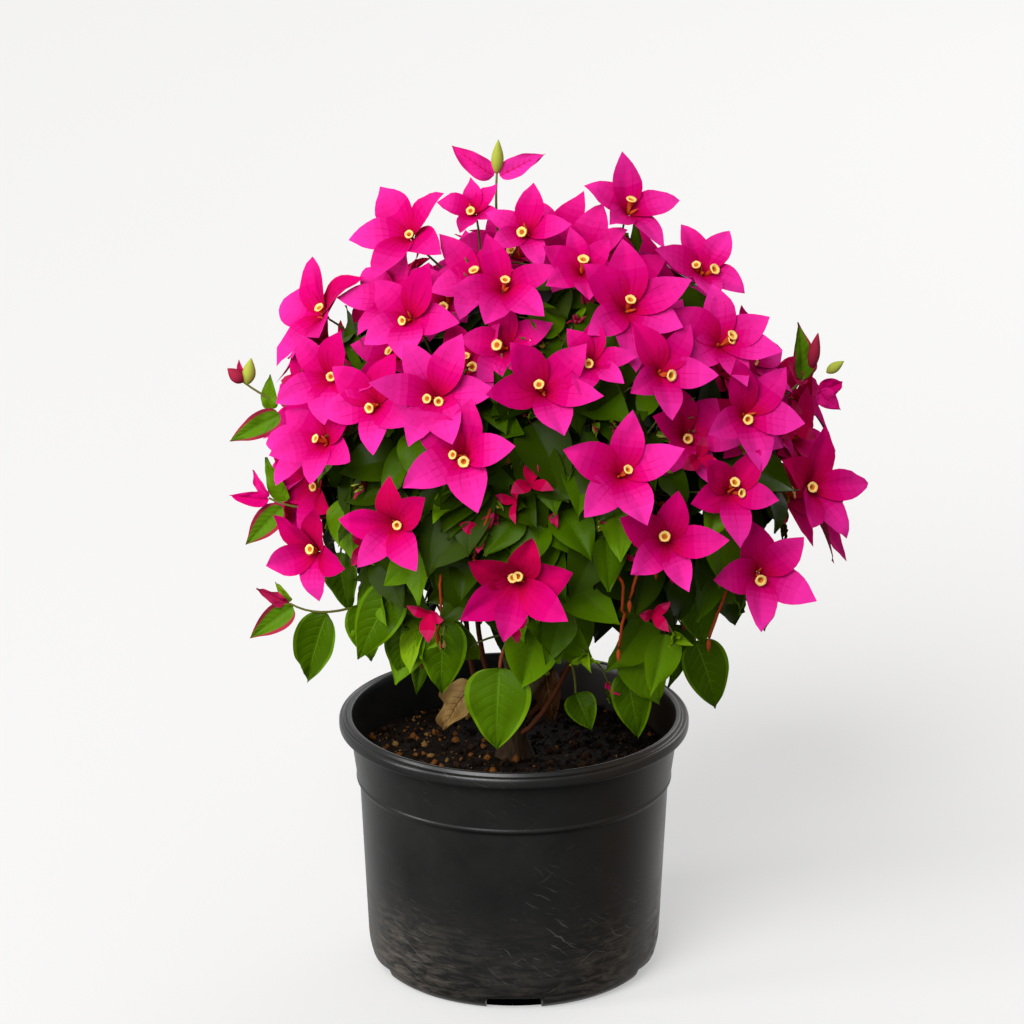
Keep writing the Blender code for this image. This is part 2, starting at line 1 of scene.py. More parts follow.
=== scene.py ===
# A bougainvillea bush in its round nursery pot, dressed for a studio picture.
# Metres, +Z up, the front is -Y. Each piece has its own dictionary of values to change.
import itertools
import bpy
import numpy as np
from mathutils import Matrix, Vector


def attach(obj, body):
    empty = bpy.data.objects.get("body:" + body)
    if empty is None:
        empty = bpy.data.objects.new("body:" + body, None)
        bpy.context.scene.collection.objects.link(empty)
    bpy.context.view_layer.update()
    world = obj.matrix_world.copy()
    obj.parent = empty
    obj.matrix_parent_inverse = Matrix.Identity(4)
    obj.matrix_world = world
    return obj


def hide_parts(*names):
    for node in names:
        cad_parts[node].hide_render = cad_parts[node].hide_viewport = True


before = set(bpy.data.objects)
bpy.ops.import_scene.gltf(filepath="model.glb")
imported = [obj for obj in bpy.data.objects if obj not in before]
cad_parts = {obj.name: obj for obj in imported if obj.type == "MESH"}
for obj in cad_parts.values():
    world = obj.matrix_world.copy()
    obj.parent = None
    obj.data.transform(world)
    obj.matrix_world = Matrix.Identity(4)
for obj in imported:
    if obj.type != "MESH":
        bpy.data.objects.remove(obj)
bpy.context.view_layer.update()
print("frame loaded:", len(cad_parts), "solids")


def unit(rows):
    # each vector divided by its own length
    return rows / np.maximum(np.linalg.norm(rows, axis=-1, keepdims=True), 1e-12)


def mix(first, second, share):
    # a straight line from the first, at share 0, to the second, at share 1
    return first * (1 - share) + second * share


def quadratic(start, control, end, share):
    # the curve from start to end that the control point draws towards itself
    return mix(mix(start, control, share), mix(control, end, share), share)


def onCircle(angle):
    # the cosine and the sine of each angle
    return np.stack([np.cos(angle), np.sin(angle)], -1)


def blend(low, high, values):
    # 0 below low, 1 above high, and a smooth step between
    share = np.clip((values - low) / (high - low), 0, 1)
    return share * share * (3 - 2 * share)


def noise(points, scale, seed):
    # value noise from -1 to 1: each lattice corner has its own random number, blended smoothly in its cell
    place = points * scale
    cell = np.floor(place)
    inside = place - cell
    inside = inside * inside * (3 - 2 * inside)
    total = 0
    for corner in itertools.product((0, 1), repeat=3):
        mixed = np.sin((cell + corner) @ (12.9898, 78.233, 37.719) + seed) * 43758.5453
        weight = np.where(corner, inside, 1 - inside).prod(-1)
        total = total + (mixed - np.floor(mixed)) * weight
    return total * 2 - 1


def gridFaces(rows, columns, closed=False):
    # one quad for each cell of a grid; it faces along column direction x row direction
    row = np.arange(rows - 1)[:, None] * columns
    column = np.arange(columns if closed else columns - 1)[None, :]
    after = (column + 1) % columns
    corners = np.broadcast_arrays(row + column, row + after, row + columns + after, row + columns + column)
    return np.stack(corners, -1).reshape(-1, 4)


def repeated(faces, count, stride):
    # the same faces once for each copy, whose points follow each other stride apart
    return (faces[None] + (np.arange(count) * stride)[:, None, None]).reshape(-1, faces.shape[1])


def sheets(points, marks):
    # many grids of points as one shape; marks give each grid, row or cell its finish
    count, rows, columns = points.shape[:3]
    faces = repeated(gridFaces(rows, columns), count, rows * columns)
    return points.reshape(-1, 3), [(faces, np.broadcast_to(marks, (count, rows - 1, columns - 1)).ravel())]


def joined(parts):
    # several (points, face sets) as one, with the later parts' corners counted on
    points = np.concatenate([part[0] for part in parts])
    starts = np.cumsum([0] + [len(part[0]) for part in parts])
    faceSets = [(faces + start, marks) for (_, sets), start in zip(parts, starts) for faces, marks in sets]
    return points, faceSets


def addObject(name, data):
    thing = bpy.data.objects.new(name, data)
    bpy.context.scene.collection.objects.link(thing)
    return thing


def makePiece(name, shape, finishes, nodes=()):
    # puts points and face sets into one mesh; a face set is corner numbers and their finishes' places in the list
    points, faceSets = shape
    corners = np.concatenate([faces.ravel() for faces, _ in faceSets]).astype(np.int32)
    sizes = np.concatenate([np.full(len(faces), faces.shape[1]) for faces, _ in faceSets])
    marks = np.concatenate([np.broadcast_to(marks, len(faces)) for faces, marks in faceSets])
    mesh = bpy.data.meshes.new(name)
    mesh.vertices.add(len(points))
    mesh.vertices.foreach_set("co", points.ravel().astype(np.float32))
    mesh.loops.add(len(corners))
    mesh.loops.foreach_set("vertex_index", corners)
    mesh.polygons.add(len(sizes))
    mesh.polygons.foreach_set("loop_start", (np.cumsum(sizes) - sizes).astype(np.int32))
    for finish in finishes:
        mesh.materials.append(bpy.data.materials[finish])
    mesh.polygons.foreach_set("material_index", marks.astype(np.int32))
    mesh.polygons.foreach_set("use_smooth", np.ones(len(sizes), bool))
    mesh.update(calc_edges=True)
    mesh.validate()
    piece = addObject(name, mesh)
    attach(piece, "root")
    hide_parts(*nodes)
    print(name, len(sizes), "faces")


def plainFinish(name, colour, roughness, shine=0.5):
    # a material of one even colour; gives its nodes
    material = bpy.data.materials.new(name)
    material.use_nodes = True
    shader = material.node_tree.nodes["Principled BSDF"]
    shader.inputs["Base Color"].default_value = (*colour, 1)
    shader.inputs["Roughness"].default_value = roughness
    shader.inputs["Specular IOR Level"].default_value = shine
    material.diffuse_color = (*colour, 1)
    return material.node_tree


def addNode(tree, kind, inputs=(), **settings):
    # a node with its settings, and its inputs given as values or as the outputs that feed them
    node = tree.nodes.new(kind)
    for setting, value in settings.items():
        setattr(node, setting, value)
    for socket, value in dict(inputs).items():
        if isinstance(value, bpy.types.NodeSocket):
            tree.links.new(value, node.inputs[socket])
        else:
            node.inputs[socket].default_value = value
    return node


def ramp(tree, source, *stops):
    # a colour ramp; each stop is a place and a colour
    node = addNode(tree, "ShaderNodeValToRGB", {"Fac": source})
    band = node.color_ramp
    while len(band.elements) < len(stops):
        band.elements.new(0.5)
    for element, (place, colour) in zip(band.elements, stops):
        element.position = place
        element.color = (*colour, 1)
    return node.outputs["Color"]


def grey(value):
    return (value, value, value)


def maths(tree, operation, *values):
    # the values put together from the left by one operation
    result = values[0]
    for value in values[1:] or (0.0,):
        result = addNode(tree, "ShaderNodeMath", {0: result, 1: value}, operation=operation).outputs[0]
    return result


def noiseTexture(tree, place, scale, detail=2.0, roughness=0.5, distortion=0.0):
    # soft noise from 0 to 1
    inputs = {"Vector": place, "Scale": scale, "Detail": detail, "Roughness": roughness, "Distortion": distortion}
    return addNode(tree, "ShaderNodeTexNoise", inputs).outputs[0]


def remap(tree, value, low, high, first=0.0, last=1.0):
    # low becomes first and high becomes last; between them it is a straight line, and outside them it is held
    return addNode(tree, "ShaderNodeMapRange", {0: value, 1: low, 2: high, 3: first, 4: last}).outputs[0]


def colourMix(tree, share, first, second):
    # from the first colour to the second by this share; each may be a value or an output
    inputs = {0: share, 6: first, 7: second}
    inputs = {socket: (*value, 1) if isinstance(value, tuple) else value for socket, value in inputs.items()}
    return addNode(tree, "ShaderNodeMix", inputs, data_type="RGBA").outputs[2]



def patterned(name, colour, roughness, shine):
    # a finish to draw a pattern on: its nodes, and the place on the object
    tree = plainFinish(name, colour, roughness, shine)
    return tree, addNode(tree, "ShaderNodeTexCoord").outputs["Object"]


def dress(tree, colour, roughness, relief, strength, distance):
    # leads the pattern's colour, roughness and relief to the shader
    bump = addNode(tree, "ShaderNodeBump", {"Height": relief, "Strength": strength, "Distance": distance})
    for socket, output in (("Base Color", colour), ("Roughness", roughness), ("Normal", bump.outputs[0])):
        tree.links.new(output, tree.nodes["Principled BSDF"].inputs[socket])


pot = {
    "rimRadius": 0.115, "height": 0.174, "wall": 0.0022, "floor": 0.0030,
    "collarRadius": 0.1078, "collarFootRadius": 0.1037, "collarFoot": 0.131,
    "bodyTopRadius": 0.1017, "bodyTop": 0.125, "bodyFootRadius": 0.0962, "bodyFoot": 0.016,
    "footRadius": 0.0870, "notches": 5, "notchWidth": 0.036, "notchHeight": 0.0085, "bead": 0.0004,
    "notchInner": 0.084, "notchWaver": 0.10, "notchRise": 0.002, "stray": 0.003, "steps": 360, "cornerSteps": 4,
}


def wallRadius(height):
    # the body's inner face: its straight taper less the wall
    share = (height - pot["bodyFoot"]) / (pot["bodyTop"] - pot["bodyFoot"])
    return mix(pot["bodyFootRadius"], pot["bodyTopRadius"], share) - pot["wall"]


def softCorners(corners, steps):
    # each corner (radius, height, reach) becomes a short curve that leaves and meets the straight
    # runs at most reach from the corner: a quadratic curve with the corner as its middle control point
    points, reach = np.array(corners)[:, :2], np.array(corners)[1:-1, 2:]
    middle = points[1:-1]
    ends = []
    for away in (points[:-2] - middle, points[2:] - middle):
        near = np.minimum(reach, 0.45 * np.linalg.norm(away, axis=1, keepdims=True))
        ends.append((middle + unit(away) * near)[:, None])
    curve = quadratic(ends[0], middle[:, None], ends[1], np.linspace(0, 1, steps)[None, :, None])
    return np.concatenate([points[:1], curve.reshape(-1, 2), points[-1:]])



def closedRings(rings, poles):
    # rings of points that follow each other, with a fan of faces to a pole at each end
    rows, steps = rings.shape[:2]
    step = np.arange(steps)
    after = (step + 1) % steps
    last = (rows - 1) * steps
    first = np.column_stack([np.full(steps, rows * steps), step, after])
    end = np.column_stack([np.full(steps, rows * steps + 1), last + after, last + step])
    sides = gridFaces(rows, steps, True)[:, ::-1]
    return np.concatenate([rings.reshape(-1, 3), poles]), [(sides, 0), (first, 0), (end, 0)]


def turned(profile, steps):
    # the profile's points carried round the Z axis; its two ends lie on the axis and become poles
    angle = np.linspace(0, 2 * np.pi, steps, endpoint=False)
    heights = np.broadcast_to(profile[1:-1, None, 1:], (len(profile) - 2, steps, 1))
    rings = np.concatenate([profile[1:-1, None, :1] * onCircle(angle), heights], -1)
    return closedRings(rings, [[0, 0, profile[0, 1]], [0, 0, profile[-1, 1]]])


def potShape():
    # the rim is an inner ridge, a groove and an outer lip rolled over; the body steps in below the collar
    lip, top, wall, corner, bead = pot["rimRadius"], pot["height"], pot["wall"], 0.0016, pot["bead"]
    collar, collarLow, collarFoot = pot["collarRadius"], pot["collarFootRadius"], pot["collarFoot"]
    body, bodyTop, bodyLow, bodyFoot = pot["bodyTopRadius"], pot["bodyTop"], pot["bodyFootRadius"], pot["bodyFoot"]
    profile = softCorners([
        (0, pot["floor"], 0), (wallRadius(pot["floor"]) - 0.006, pot["floor"], 0.004),
        (wallRadius(bodyFoot), bodyFoot, 0.004), (wallRadius(bodyTop), bodyTop, corner),
        (collarLow - wall, collarFoot, corner), (collar - wall, top - 0.0045, corner),
        (lip - 0.0084, top - 0.0006, 0.0012), (lip - 0.0072, top, 0.0008), (lip - 0.0056, top, 0.0008),
        (lip - 0.0044, top - 0.0026, 0.0010), (lip - 0.0030, top - 0.0026, 0.0008),
        (lip - 0.0016, top - 0.0016, 0.0008), (lip, top - 0.0030, 0.0014), (lip, top - 0.0084, 0.0014),
        (lip - 0.0014, top - 0.0096, 0.0008), (collar + 0.0004, top - 0.0090, 0.0012),
        (collarLow, collarFoot + 0.0016, 0.0005), (collarLow + bead, collarFoot + 0.0006, 0.0005),
        (collarLow + bead, collarFoot - 0.0008, 0.0005), (body + 0.0002, bodyTop + 0.0030, 0.0010),
        (body, bodyTop, 0.0012), (bodyLow, bodyFoot, 0.006), (bodyLow - 0.0030, 0.0050, 0.003),
        (pot["footRadius"], 0, 0.0012), (pot["notchInner"] + 0.0004, 0, 0.0001),
        (pot["notchInner"] - 0.0004, 0, 0.0001), (0, 0, 0),
    ], pot["cornerSteps"])
    points, faceSets = turned(profile, pot["steps"])
    radius = np.hypot(points[:, 0], points[:, 1])
    pitch = 2 * np.pi / pot["notches"]
    angle = np.arctan2(points[:, 0], -points[:, 1])
    fromNotch = np.abs((angle + pitch / 2) % pitch - pitch / 2)
    cut = (radius * np.sin(fromNotch) < pot["notchWidth"] / 2) & (radius > pot["notchInner"])
    # the notches' height varies a little, and their inner edge is higher than the outer one
    height = pot["notchHeight"] * (1 + pot["notchWaver"] * np.cos(angle * 7))
    height += pot["notchRise"] * (np.arange(len(points)) < pot["steps"] * pot["cornerSteps"] * 2)
    points[:, 2] = np.where(cut, np.maximum(points[:, 2], height), points[:, 2])
    # a moulded wall is never perfectly round: between foot and rim it strays a third of a millimetre
    stray = pot["stray"] * np.sin(angle * 2 + 0.8) * blend(0.01, 0.12, points[:, 2]) * blend(top, 0.15, points[:, 2])
    points[:, :2] *= 1 + stray[:, None]
    return points, faceSets


# the plastic's colours, and where dust, scratches, the painted brownish light and the painted shade lie: heights, or
# distances to the side
potLook = {
    "plain": (0.010, 0.010, 0.0095), "roughness": 0.34, "shine": 0.45,
    "dark": (0.0068, 0.0069, 0.0066), "light": (0.0125, 0.0122, 0.0115),
    "paintedWarmLight": (0.0170, 0.0095, 0.0045), "paintedWarmLightSides": (0.030, 0.095, 0.0, 0.90),
    "dust": (0.135, 0.112, 0.090), "dustHeights": (0.072, 0.010), "dustSides": (0.034, 0.082, 0.25),
    "scratch": (0.130, 0.125, 0.118), "scratchHeights": (0.105, 0.012), "recess": (0.0866, 0.014),
    "strokes": ((42, (0.5, 0.9, 0.2), 0.55), (66, (1.9, 0.3, 1.1), 0.58), (52, (0.2, 2.2, 0.6), 0.60)),
}


def strokes(tree, place, scale, turn, least):
    # short curved scratches: the crests of a strongly distorted wave, kept only where a noise is high
    swung = addNode(tree, "ShaderNodeMapping", {"Vector": place, "Rotation": turn}).outputs[0]
    wave = addNode(tree, "ShaderNodeTexWave", {
        "Vector": swung, "Scale": scale, "Distortion": 5.0, "Detail": 2.0, "Detail Scale": 1.2}).outputs[1]
    where = noiseTexture(tree, swung, scale * 1.3)
    return maths(tree, "MULTIPLY", remap(tree, wave, 0.94, 1.0), remap(tree, where, least, least + 0.16))


def potFinish():
    # satin black plastic with pale scuffs, curved scratches and grey-brown dust towards the foot; a painted brownish
    # light on its right side and painted shade in the recess behind the foot's notches
    tree, place = patterned("potPlastic", potLook["plain"], potLook["roughness"], potLook["shine"])
    axes = addNode(tree, "ShaderNodeSeparateXYZ", {0: place}).outputs
    cloud = noiseTexture(tree, place, 26, 6, 0.62)
    # dust lies in level streaks, thickest at the foot and the two sides
    level = addNode(tree, "ShaderNodeMapping", {"Vector": place, "Scale": (1, 1, 4.5)}).outputs[0]
    streak = ramp(tree, noiseTexture(tree, level, 55, 7, 0.68, 0.6), (0.42, grey(0)), (0.66, grey(1)))
    lowest = remap(tree, axes[2], *potLook["dustHeights"])
    sides = remap(tree, maths(tree, "ABSOLUTE", axes[0]), *potLook["dustSides"])
    dust = maths(tree, "MULTIPLY", streak, lowest, sides)
    # scratches gather in patches on the lower half
    low = maths(tree, "MULTIPLY", remap(tree, axes[2], *potLook["scratchHeights"]), 0.34)
    patchy = ramp(tree, maths(tree, "ADD", low, noiseTexture(tree, place, 11, 3)), (0.50, grey(0)), (0.80, grey(1)))
    lines = maths(tree, "MAXIMUM", *(strokes(tree, place, *each) for each in potLook["strokes"]))
    lines = maths(tree, "MULTIPLY", lines, patchy)
    colour = ramp(tree, cloud, (0.30, potLook["dark"]), (0.72, potLook["light"]))
    # painted light: the pot's right side is tinted brownish, as if lit by an orange-tinted light
    colour = colourMix(tree, remap(tree, axes[0], *potLook["paintedWarmLightSides"]), colour, potLook["paintedWarmLight"])
    colour = colourMix(tree, maths(tree, "MULTIPLY", dust, 0.95), colour, potLook["dust"])
    colour = colourMix(tree, maths(tree, "MULTIPLY", lines, 0.50), colour, potLook["scratch"])
    # painted shade: the recess behind the foot's notches is painted near black and its shine is taken away
    flat = addNode(tree, "ShaderNodeVectorMath", {0: place, 1: (1, 1, 0)}, operation="MULTIPLY").outputs[0]
    radius = addNode(tree, "ShaderNodeVectorMath", {0: flat}, operation="LENGTH").outputs["Value"]
    recessRadius, recessHeight = potLook["recess"]
    inside = maths(tree, "MULTIPLY", maths(tree, "LESS_THAN", radius, recessRadius),
                   maths(tree, "LESS_THAN", axes[2], recessHeight))
    shine = maths(tree, "MULTIPLY", maths(tree, "SUBTRACT", 1.0, inside), potLook["shine"])
    tree.links.new(shine, tree.nodes["Principled BSDF"].inputs["Specular IOR Level"])
    unevenness = maths(tree, "MULTIPLY", maths(tree, "SUBTRACT", cloud, 0.5), 0.20)
    rough = maths(tree, "ADD", remap(tree, dust, 0, 1, 0.33, 0.75), unevenness)
    grain = maths(tree, "MULTIPLY", noiseTexture(tree, place, 900), 0.25)
    relief = maths(tree, "SUBTRACT", grain, maths(tree, "MULTIPLY", lines, 0.8))
    # painted shade: the colour goes near black inside the recess
    dress(tree, colourMix(tree, inside, colour, grey(0.0008)), rough, relief, 0.35, 0.0004)


potFinish()
makePiece("nurseryPot", potShape(), ["potPlastic"], ["pot"])


soil = {
    "top": 0.146, "floor": 0.010, "sink": 0.0025, "flatRadius": 0.036, "rings": 90, "steps": 260,
    "lumps": 0.0016, "grains": ((60, 0.9), (190, 0.55), (520, 0.30)), "mound": (0.0016, 0.008, 0.014), "shine": 0.10,
    "crumbs": 1500, "seed": 3, "crumbSize": (0.0006, 0.0024), "stretch": (0.6, 1.5), "rough": (0.75, 1.2),
    "tilt": (-0.7, 0.7), "sunk": 0.35, "bright": (0.10, 0.34), "brightSide": -0.06,
}
soilDice = np.random.default_rng(soil["seed"])
soilRadius = mix(pot["collarFootRadius"], pot["collarRadius"], 0.3) - pot["wall"] - 0.0002


def soilHeight(across):
    # level in the middle, sinking towards the wall, with three sizes of lumps and a low mound at the trunk
    radius = np.hypot(across[:, 0], across[:, 1])
    flat = np.column_stack([across, np.zeros(len(across))])
    lumps = sum(noise(flat, scale, seed) * share for seed, (scale, share) in enumerate(soil["grains"], 1))
    sink = soil["sink"] * blend(soil["flatRadius"], soilRadius, radius)
    rise, front, reach = soil["mound"]
    mound = rise * np.exp(-np.hypot(across[:, 0], across[:, 1] + front) / reach)
    return soil["top"] - sink + lumps * soil["lumps"] + mound


def soilShape():
    # a disc of rings whose heights follow soilHeight, with a skirt down the wall and a closed underside
    radius = np.sqrt(np.linspace(0, 1, soil["rings"])[1:]) * soilRadius
    angle = np.linspace(0, 2 * np.pi, soil["steps"], endpoint=False)
    across = (radius[:, None, None] * onCircle(angle)[None]).reshape(-1, 2)
    top = np.column_stack([across, soilHeight(across)]).reshape(-1, soil["steps"], 3)
    walls = []
    for height, share in ((pot["bodyTop"], 1), (soil["floor"], 0.93)):
        ring = top[-1] * (1, 1, 0) + (0, 0, height)
        ring[:, :2] *= (wallRadius(height) - 0.0004) / soilRadius * share
        walls.append(ring)
    poles = [[0, 0, soilHeight(np.zeros((1, 2)))[0]], [0, 0, soil["floor"]]]
    return closedRings(np.concatenate([top, walls]), poles)


def crumbShape():
    # crumbs: the same rough eight-sided lump, each stretched, turned and half sunk at its own place
    count = soil["crumbs"]
    lump = np.array([(1, 0, 0), (0, 1, 0), (-1, 0, 0), (0, -1, 0), (0, 0, 1), (0, 0, -1),
                     (0.6, 0.6, 0.5), (-0.6, 0.5, 0.5), (-0.5, -0.6, 0.5), (0.6, -0.5, 0.5)], float)
    faces = np.array([(4, 9, 6), (4, 6, 7), (4, 7, 8), (4, 8, 9), (0, 6, 9), (1, 7, 6), (2, 8, 7), (3, 9, 8),
                      (0, 1, 6), (1, 2, 7), (2, 3, 8), (3, 0, 9), (5, 1, 0), (5, 2, 1), (5, 3, 2), (5, 0, 3)])
    radius = np.sqrt(soilDice.uniform(0, 1, (count, 1))) * (soilRadius - 0.004)
    across = radius * onCircle(soilDice.uniform(0, 2 * np.pi, count))
    size = soil["crumbSize"][0] + soil["crumbSize"][1] * soilDice.uniform(0, 1, (count, 1)) ** 3
    stretch = soilDice.uniform(*soil["stretch"], (count, 3)) * size
    local = lump[None] * soilDice.uniform(*soil["rough"], (count, 10, 1)) * stretch[:, None]
    turn = soilDice.uniform(0, 2 * np.pi, count)
    tilt = soilDice.uniform(*soil["tilt"], count)
    side = np.stack([np.cos(turn), np.sin(turn), 0 * turn], -1)
    up = unit(np.stack([np.sin(tilt) * -np.sin(turn), np.sin(tilt) * np.cos(turn), np.cos(tilt)], -1))
    front = np.cross(up, side)
    points = sum(local[..., axis, None] * way[:, None] for axis, way in enumerate((side, front, up)))
    points += np.column_stack([across, soilHeight(across) + size[:, 0] * soil["sunk"]])[:, None]
    # the bright chips lie mostly at the left
    few, more = soil["bright"]
    bright = soilDice.uniform(0, 1, count) < few + more * blend(0.0, soil["brightSide"], across[:, 0])
    marks = np.where(bright, soilDice.choice((2, 2, 3), count), soilDice.choice((0, 0, 1), count))
    marks = np.repeat(marks, len(faces))
    return points.reshape(-1, 3), [(repeated(faces, count, 10), marks)]


def soilFinish(name, dark, light, scale):
    # moist compost: dark and light grains, rough all over, with a glint of water in the hollows
    tree, place = patterned(name, dark, 0.9, soil["shine"])
    grain = noiseTexture(tree, place, scale, 8, 0.72)
    cells = addNode(tree, "ShaderNodeTexVoronoi", {"Vector": place, "Scale": scale * 1.9}).outputs["Distance"]
    both = maths(tree, "ADD", maths(tree, "MULTIPLY", grain, 0.8), maths(tree, "MULTIPLY", cells, 0.35))
    colour = ramp(tree, both, (0.42, dark), (0.80, light))
    dress(tree, colour, remap(tree, grain, 0.3, 0.7, 0.62, 0.95), both, 0.9, 0.0012)


# each grade of soil: its dark and light, and how fine its grain is
soilTones = {
    "compostDark": ((0.0020, 0.0011, 0.0005), (0.010, 0.0048, 0.0018), 420),
    "compostBrown": ((0.012, 0.0050, 0.0014), (0.045, 0.019, 0.005), 600),
    "barkChipOrange": ((0.090, 0.030, 0.005), (0.230, 0.085, 0.014), 700),
    "barkChipTan": ((0.130, 0.066, 0.016), (0.300, 0.165, 0.050), 700),
    "compost": ((0.0016, 0.0009, 0.0004), (0.012, 0.0052, 0.0018), 330),
}
for name, looks in soilTones.items():
    soilFinish(name, *looks)
makePiece("compost", soilShape(), ["compost"], ["soil"])
makePiece("compostCrumbs", crumbShape(), list(soilTones)[:4])


crown = {
    "centre": np.array([0.026, 0.0, 0.360]), "radius": 0.172,
    "light": np.array([0.0, -0.84, 0.54]), "lightPull": 0.9,
    "boughReach": 0.48, "boughSteps": 5, "mainRadii": (0.0034, 0.0022), "mainLeave": 50,
    "sideTipRadius": 0.0019, "rootShare": 0.74, "sideRise": 12, "leavePull": 0.42, "arrivePull": 0.30,
    "stemRadii": (0.0019, 0.0014), "hubReach": 0.64, "stemRise": 30, "goldenTurn": 137.5,
}
# each mass: azimuth, elevation and reach of its axis, what it grows from and how far along that, its
# blooms (number, degrees off the axis, turn of the first) and how much its leaves hang
masses = {
    "top_left": (-72, 64, 1.02, "trunk", 0.97, 2, 8, 235, 0.2),
    "top_front": (-8, 61, 0.98, "trunk", 0.75, 3, 10, 110, 0.2),
    "top_right": (58, 61, 1.02, "trunk", 0.53, 2, 10, 96, 0.2),
    "top_back_right": (128, 56, 0.98, "trunk", 0.84, 2, 11, 30, 0.2),
    "top_back_left": (-150, 56, 0.98, "trunk", 0.64, 3, 11, 80, 0.2),
    "left_shoulder": (-72, 28, 1.03, "top_left", 0.56, 2, 11, 158, 0.3),
    "left_side": (-64, -4, 1.00, "top_left", 0.34, 2, 15, 71, 0.5),
    "front_left_high": (-47, 32, 0.97, "top_left", 0.72, 2, 10, 92, 0.3),
    "front_left": (-25, 21, 0.98, "top_front", 0.52, 2, 7, 126, 0.4),
    "front_high": (6, 21, 0.99, "top_front", 0.60, 2, 12, 131, 0.4),
    "front_right_high": (20, 39, 0.97, "top_front", 0.76, 3, 9, 75, 0.3),
    "right_shoulder": (48, 27, 0.99, "top_right", 0.62, 2, 8, 90, 0.3),
    "front_low_left": (-37, -3, 0.97, "top_front", 0.36, 1, 0, 0, 0.6),
    "front_low": (-8, -12, 0.98, "top_front", 0.24, 1, 0, 0, 0.6),
    "front_low_right": (32, 0, 0.99, "top_right", 0.40, 2, 9, 207, 0.5),
    "right_low": (58, -9, 1.03, "top_right", 0.26, 2, 11, 220, 0.5),
    "right_high": (92, 31, 1.00, "top_back_right", 0.62, 2, 10, 20, 0.3),
    "right_side": (98, -4, 1.00, "top_back_right", 0.32, 2, 12, 70, 0.5),
    "back_right": (138, 16, 0.98, "top_back_right", 0.48, 3, 13, 40, 0.4),
    "back_high": (180, 24, 0.98, "top_back_left", 0.64, 3, 13, 100, 0.4),
    "back_low": (165, -12, 0.97, "top_back_left", 0.26, 2, 14, 10, 0.6),
    "left_back_high": (-116, 29, 0.98, "top_back_left", 0.54, 3, 12, 60, 0.3),
    "left_back": (-106, -8, 0.97, "top_back_left", 0.38, 2, 13, 120, 0.5),
    "back_left_low": (-146, -8, 0.97, "top_back_left", 0.16, 2, 13, 150, 0.6),
    "skirt_front": (-6, -52, 1.08, "trunk", 0.34, 0, 0, 0, 1.0),
    "skirt_left": (-66, -43, 1.06, "trunk", 0.22, 0, 0, 0, 1.0),
    "skirt_right": (44, -47, 1.10, "trunk", 0.26, 0, 0, 0, 1.0),
    "skirt_back_right": (106, -44, 1.06, "trunk", 0.38, 0, 0, 0, 1.0),
    "skirt_back": (168, -46, 1.04, "trunk", 0.30, 0, 0, 0, 1.0),
    "skirt_back_left": (-124, -44, 1.05, "trunk", 0.42, 0, 0, 0, 1.0),
}
massNames = list(masses)
massNodes = ["mass_" + name for name in masses]
dice = np.random.default_rng(41)
wholeTurn = (0, 360)


def pickOf(bounds, count):
    # even draws between two bounds
    return dice.uniform(*bounds, count)


def direction(azimuth, elevation):
    # the unit vector at these degrees seen from the crown's centre: azimuth 0 is the front, + is right
    turn, rise = np.radians(azimuth), np.radians(elevation)
    return np.stack([np.sin(turn) * np.cos(rise), -np.cos(turn) * np.cos(rise), np.sin(rise)], -1)


def around(axis, spread, turn):
    # the axis swung away by spread degrees, to the side that turn gives: 0 is right and 90 is up
    spread, turn = np.radians(spread)[..., None], np.radians(turn)[..., None]
    east = unit(np.cross((0, 0, 1), axis))
    north = np.cross(axis, east)
    return axis * np.cos(spread) + (east * np.cos(turn) + north * np.sin(turn)) * np.sin(spread)


def inCrown(way, reach):
    # the crown's centre plus the heading times this share of the crown's radius
    return crown["centre"] + way * (crown["radius"] * np.asarray(reach))[..., None]


def axisOf(name):
    return direction(*masses[name][:2])


def bend(start, leaving, end, arriving, steps, pulls=None):
    # points along the cubic curve that leaves start with one heading and reaches end with the other;
    # many curves are worked out at once when start and end hold many rows
    span = np.linalg.norm(end - start, axis=-1, keepdims=True)
    leavePull, arrivePull = pulls or (crown["leavePull"], crown["arrivePull"])
    near = start + unit(leaving) * span * leavePull
    far = end - unit(arriving) * span * arrivePull
    share = np.linspace(0, 1, steps + 1)[:, None]
    four = [np.expand_dims(each, -2) for each in (start, near, far, end)]
    weights = ((1 - share) ** 3, 3 * (1 - share) ** 2 * share, 3 * (1 - share) * share ** 2, share ** 3)
    return sum(point * weight for point, weight in zip(four, weights))


def along(values, share):
    # the point, or the radius, at this share of the way along a list of them
    place = share * (len(values) - 1)
    index = min(int(place), len(values) - 2)
    return mix(values[index], values[index + 1], place - index)


def tubes(paths, radii, sides, marks=0, endMarks=0, relief=1.0, axes=None):
    # round tubes along many paths at once, with closed ends: at each point a ring of the given radius stands
    # across the path, or across one given axis where the path doubles back; relief multiplies the radius at
    # each ring point, and marks and endMarks are the finishes of sides and ends
    count, steps = paths.shape[:2]
    run = unit(np.gradient(paths, axis=1)) if axes is None else axes[:, None] + 0 * paths
    least = np.eye(3)[np.abs(paths[:, -1] - paths[:, 0]).argmin(1)]
    side = unit(np.cross(run, np.broadcast_to(least[:, None], run.shape)))
    up = np.cross(run, side)
    angle = 2 * np.pi * np.arange(sides) / sides
    ring = side[:, :, None] * np.cos(angle)[:, None] + up[:, :, None] * np.sin(angle)[:, None]
    size = np.broadcast_to(radii, (count, steps))[:, :, None] * relief
    step = np.arange(sides)
    ends = repeated(np.stack([step[::-1], (steps - 1) * sides + step]), count, steps * sides)
    faces = repeated(gridFaces(steps, sides, True), count, steps * sides)
    return (paths[:, :, None] + ring * size[..., None]).reshape(-1, 3), [
        (faces, np.broadcast_to(marks, (count, steps - 1, sides)).ravel()),
        (ends, np.broadcast_to(endMarks, (count, 2)).ravel())]


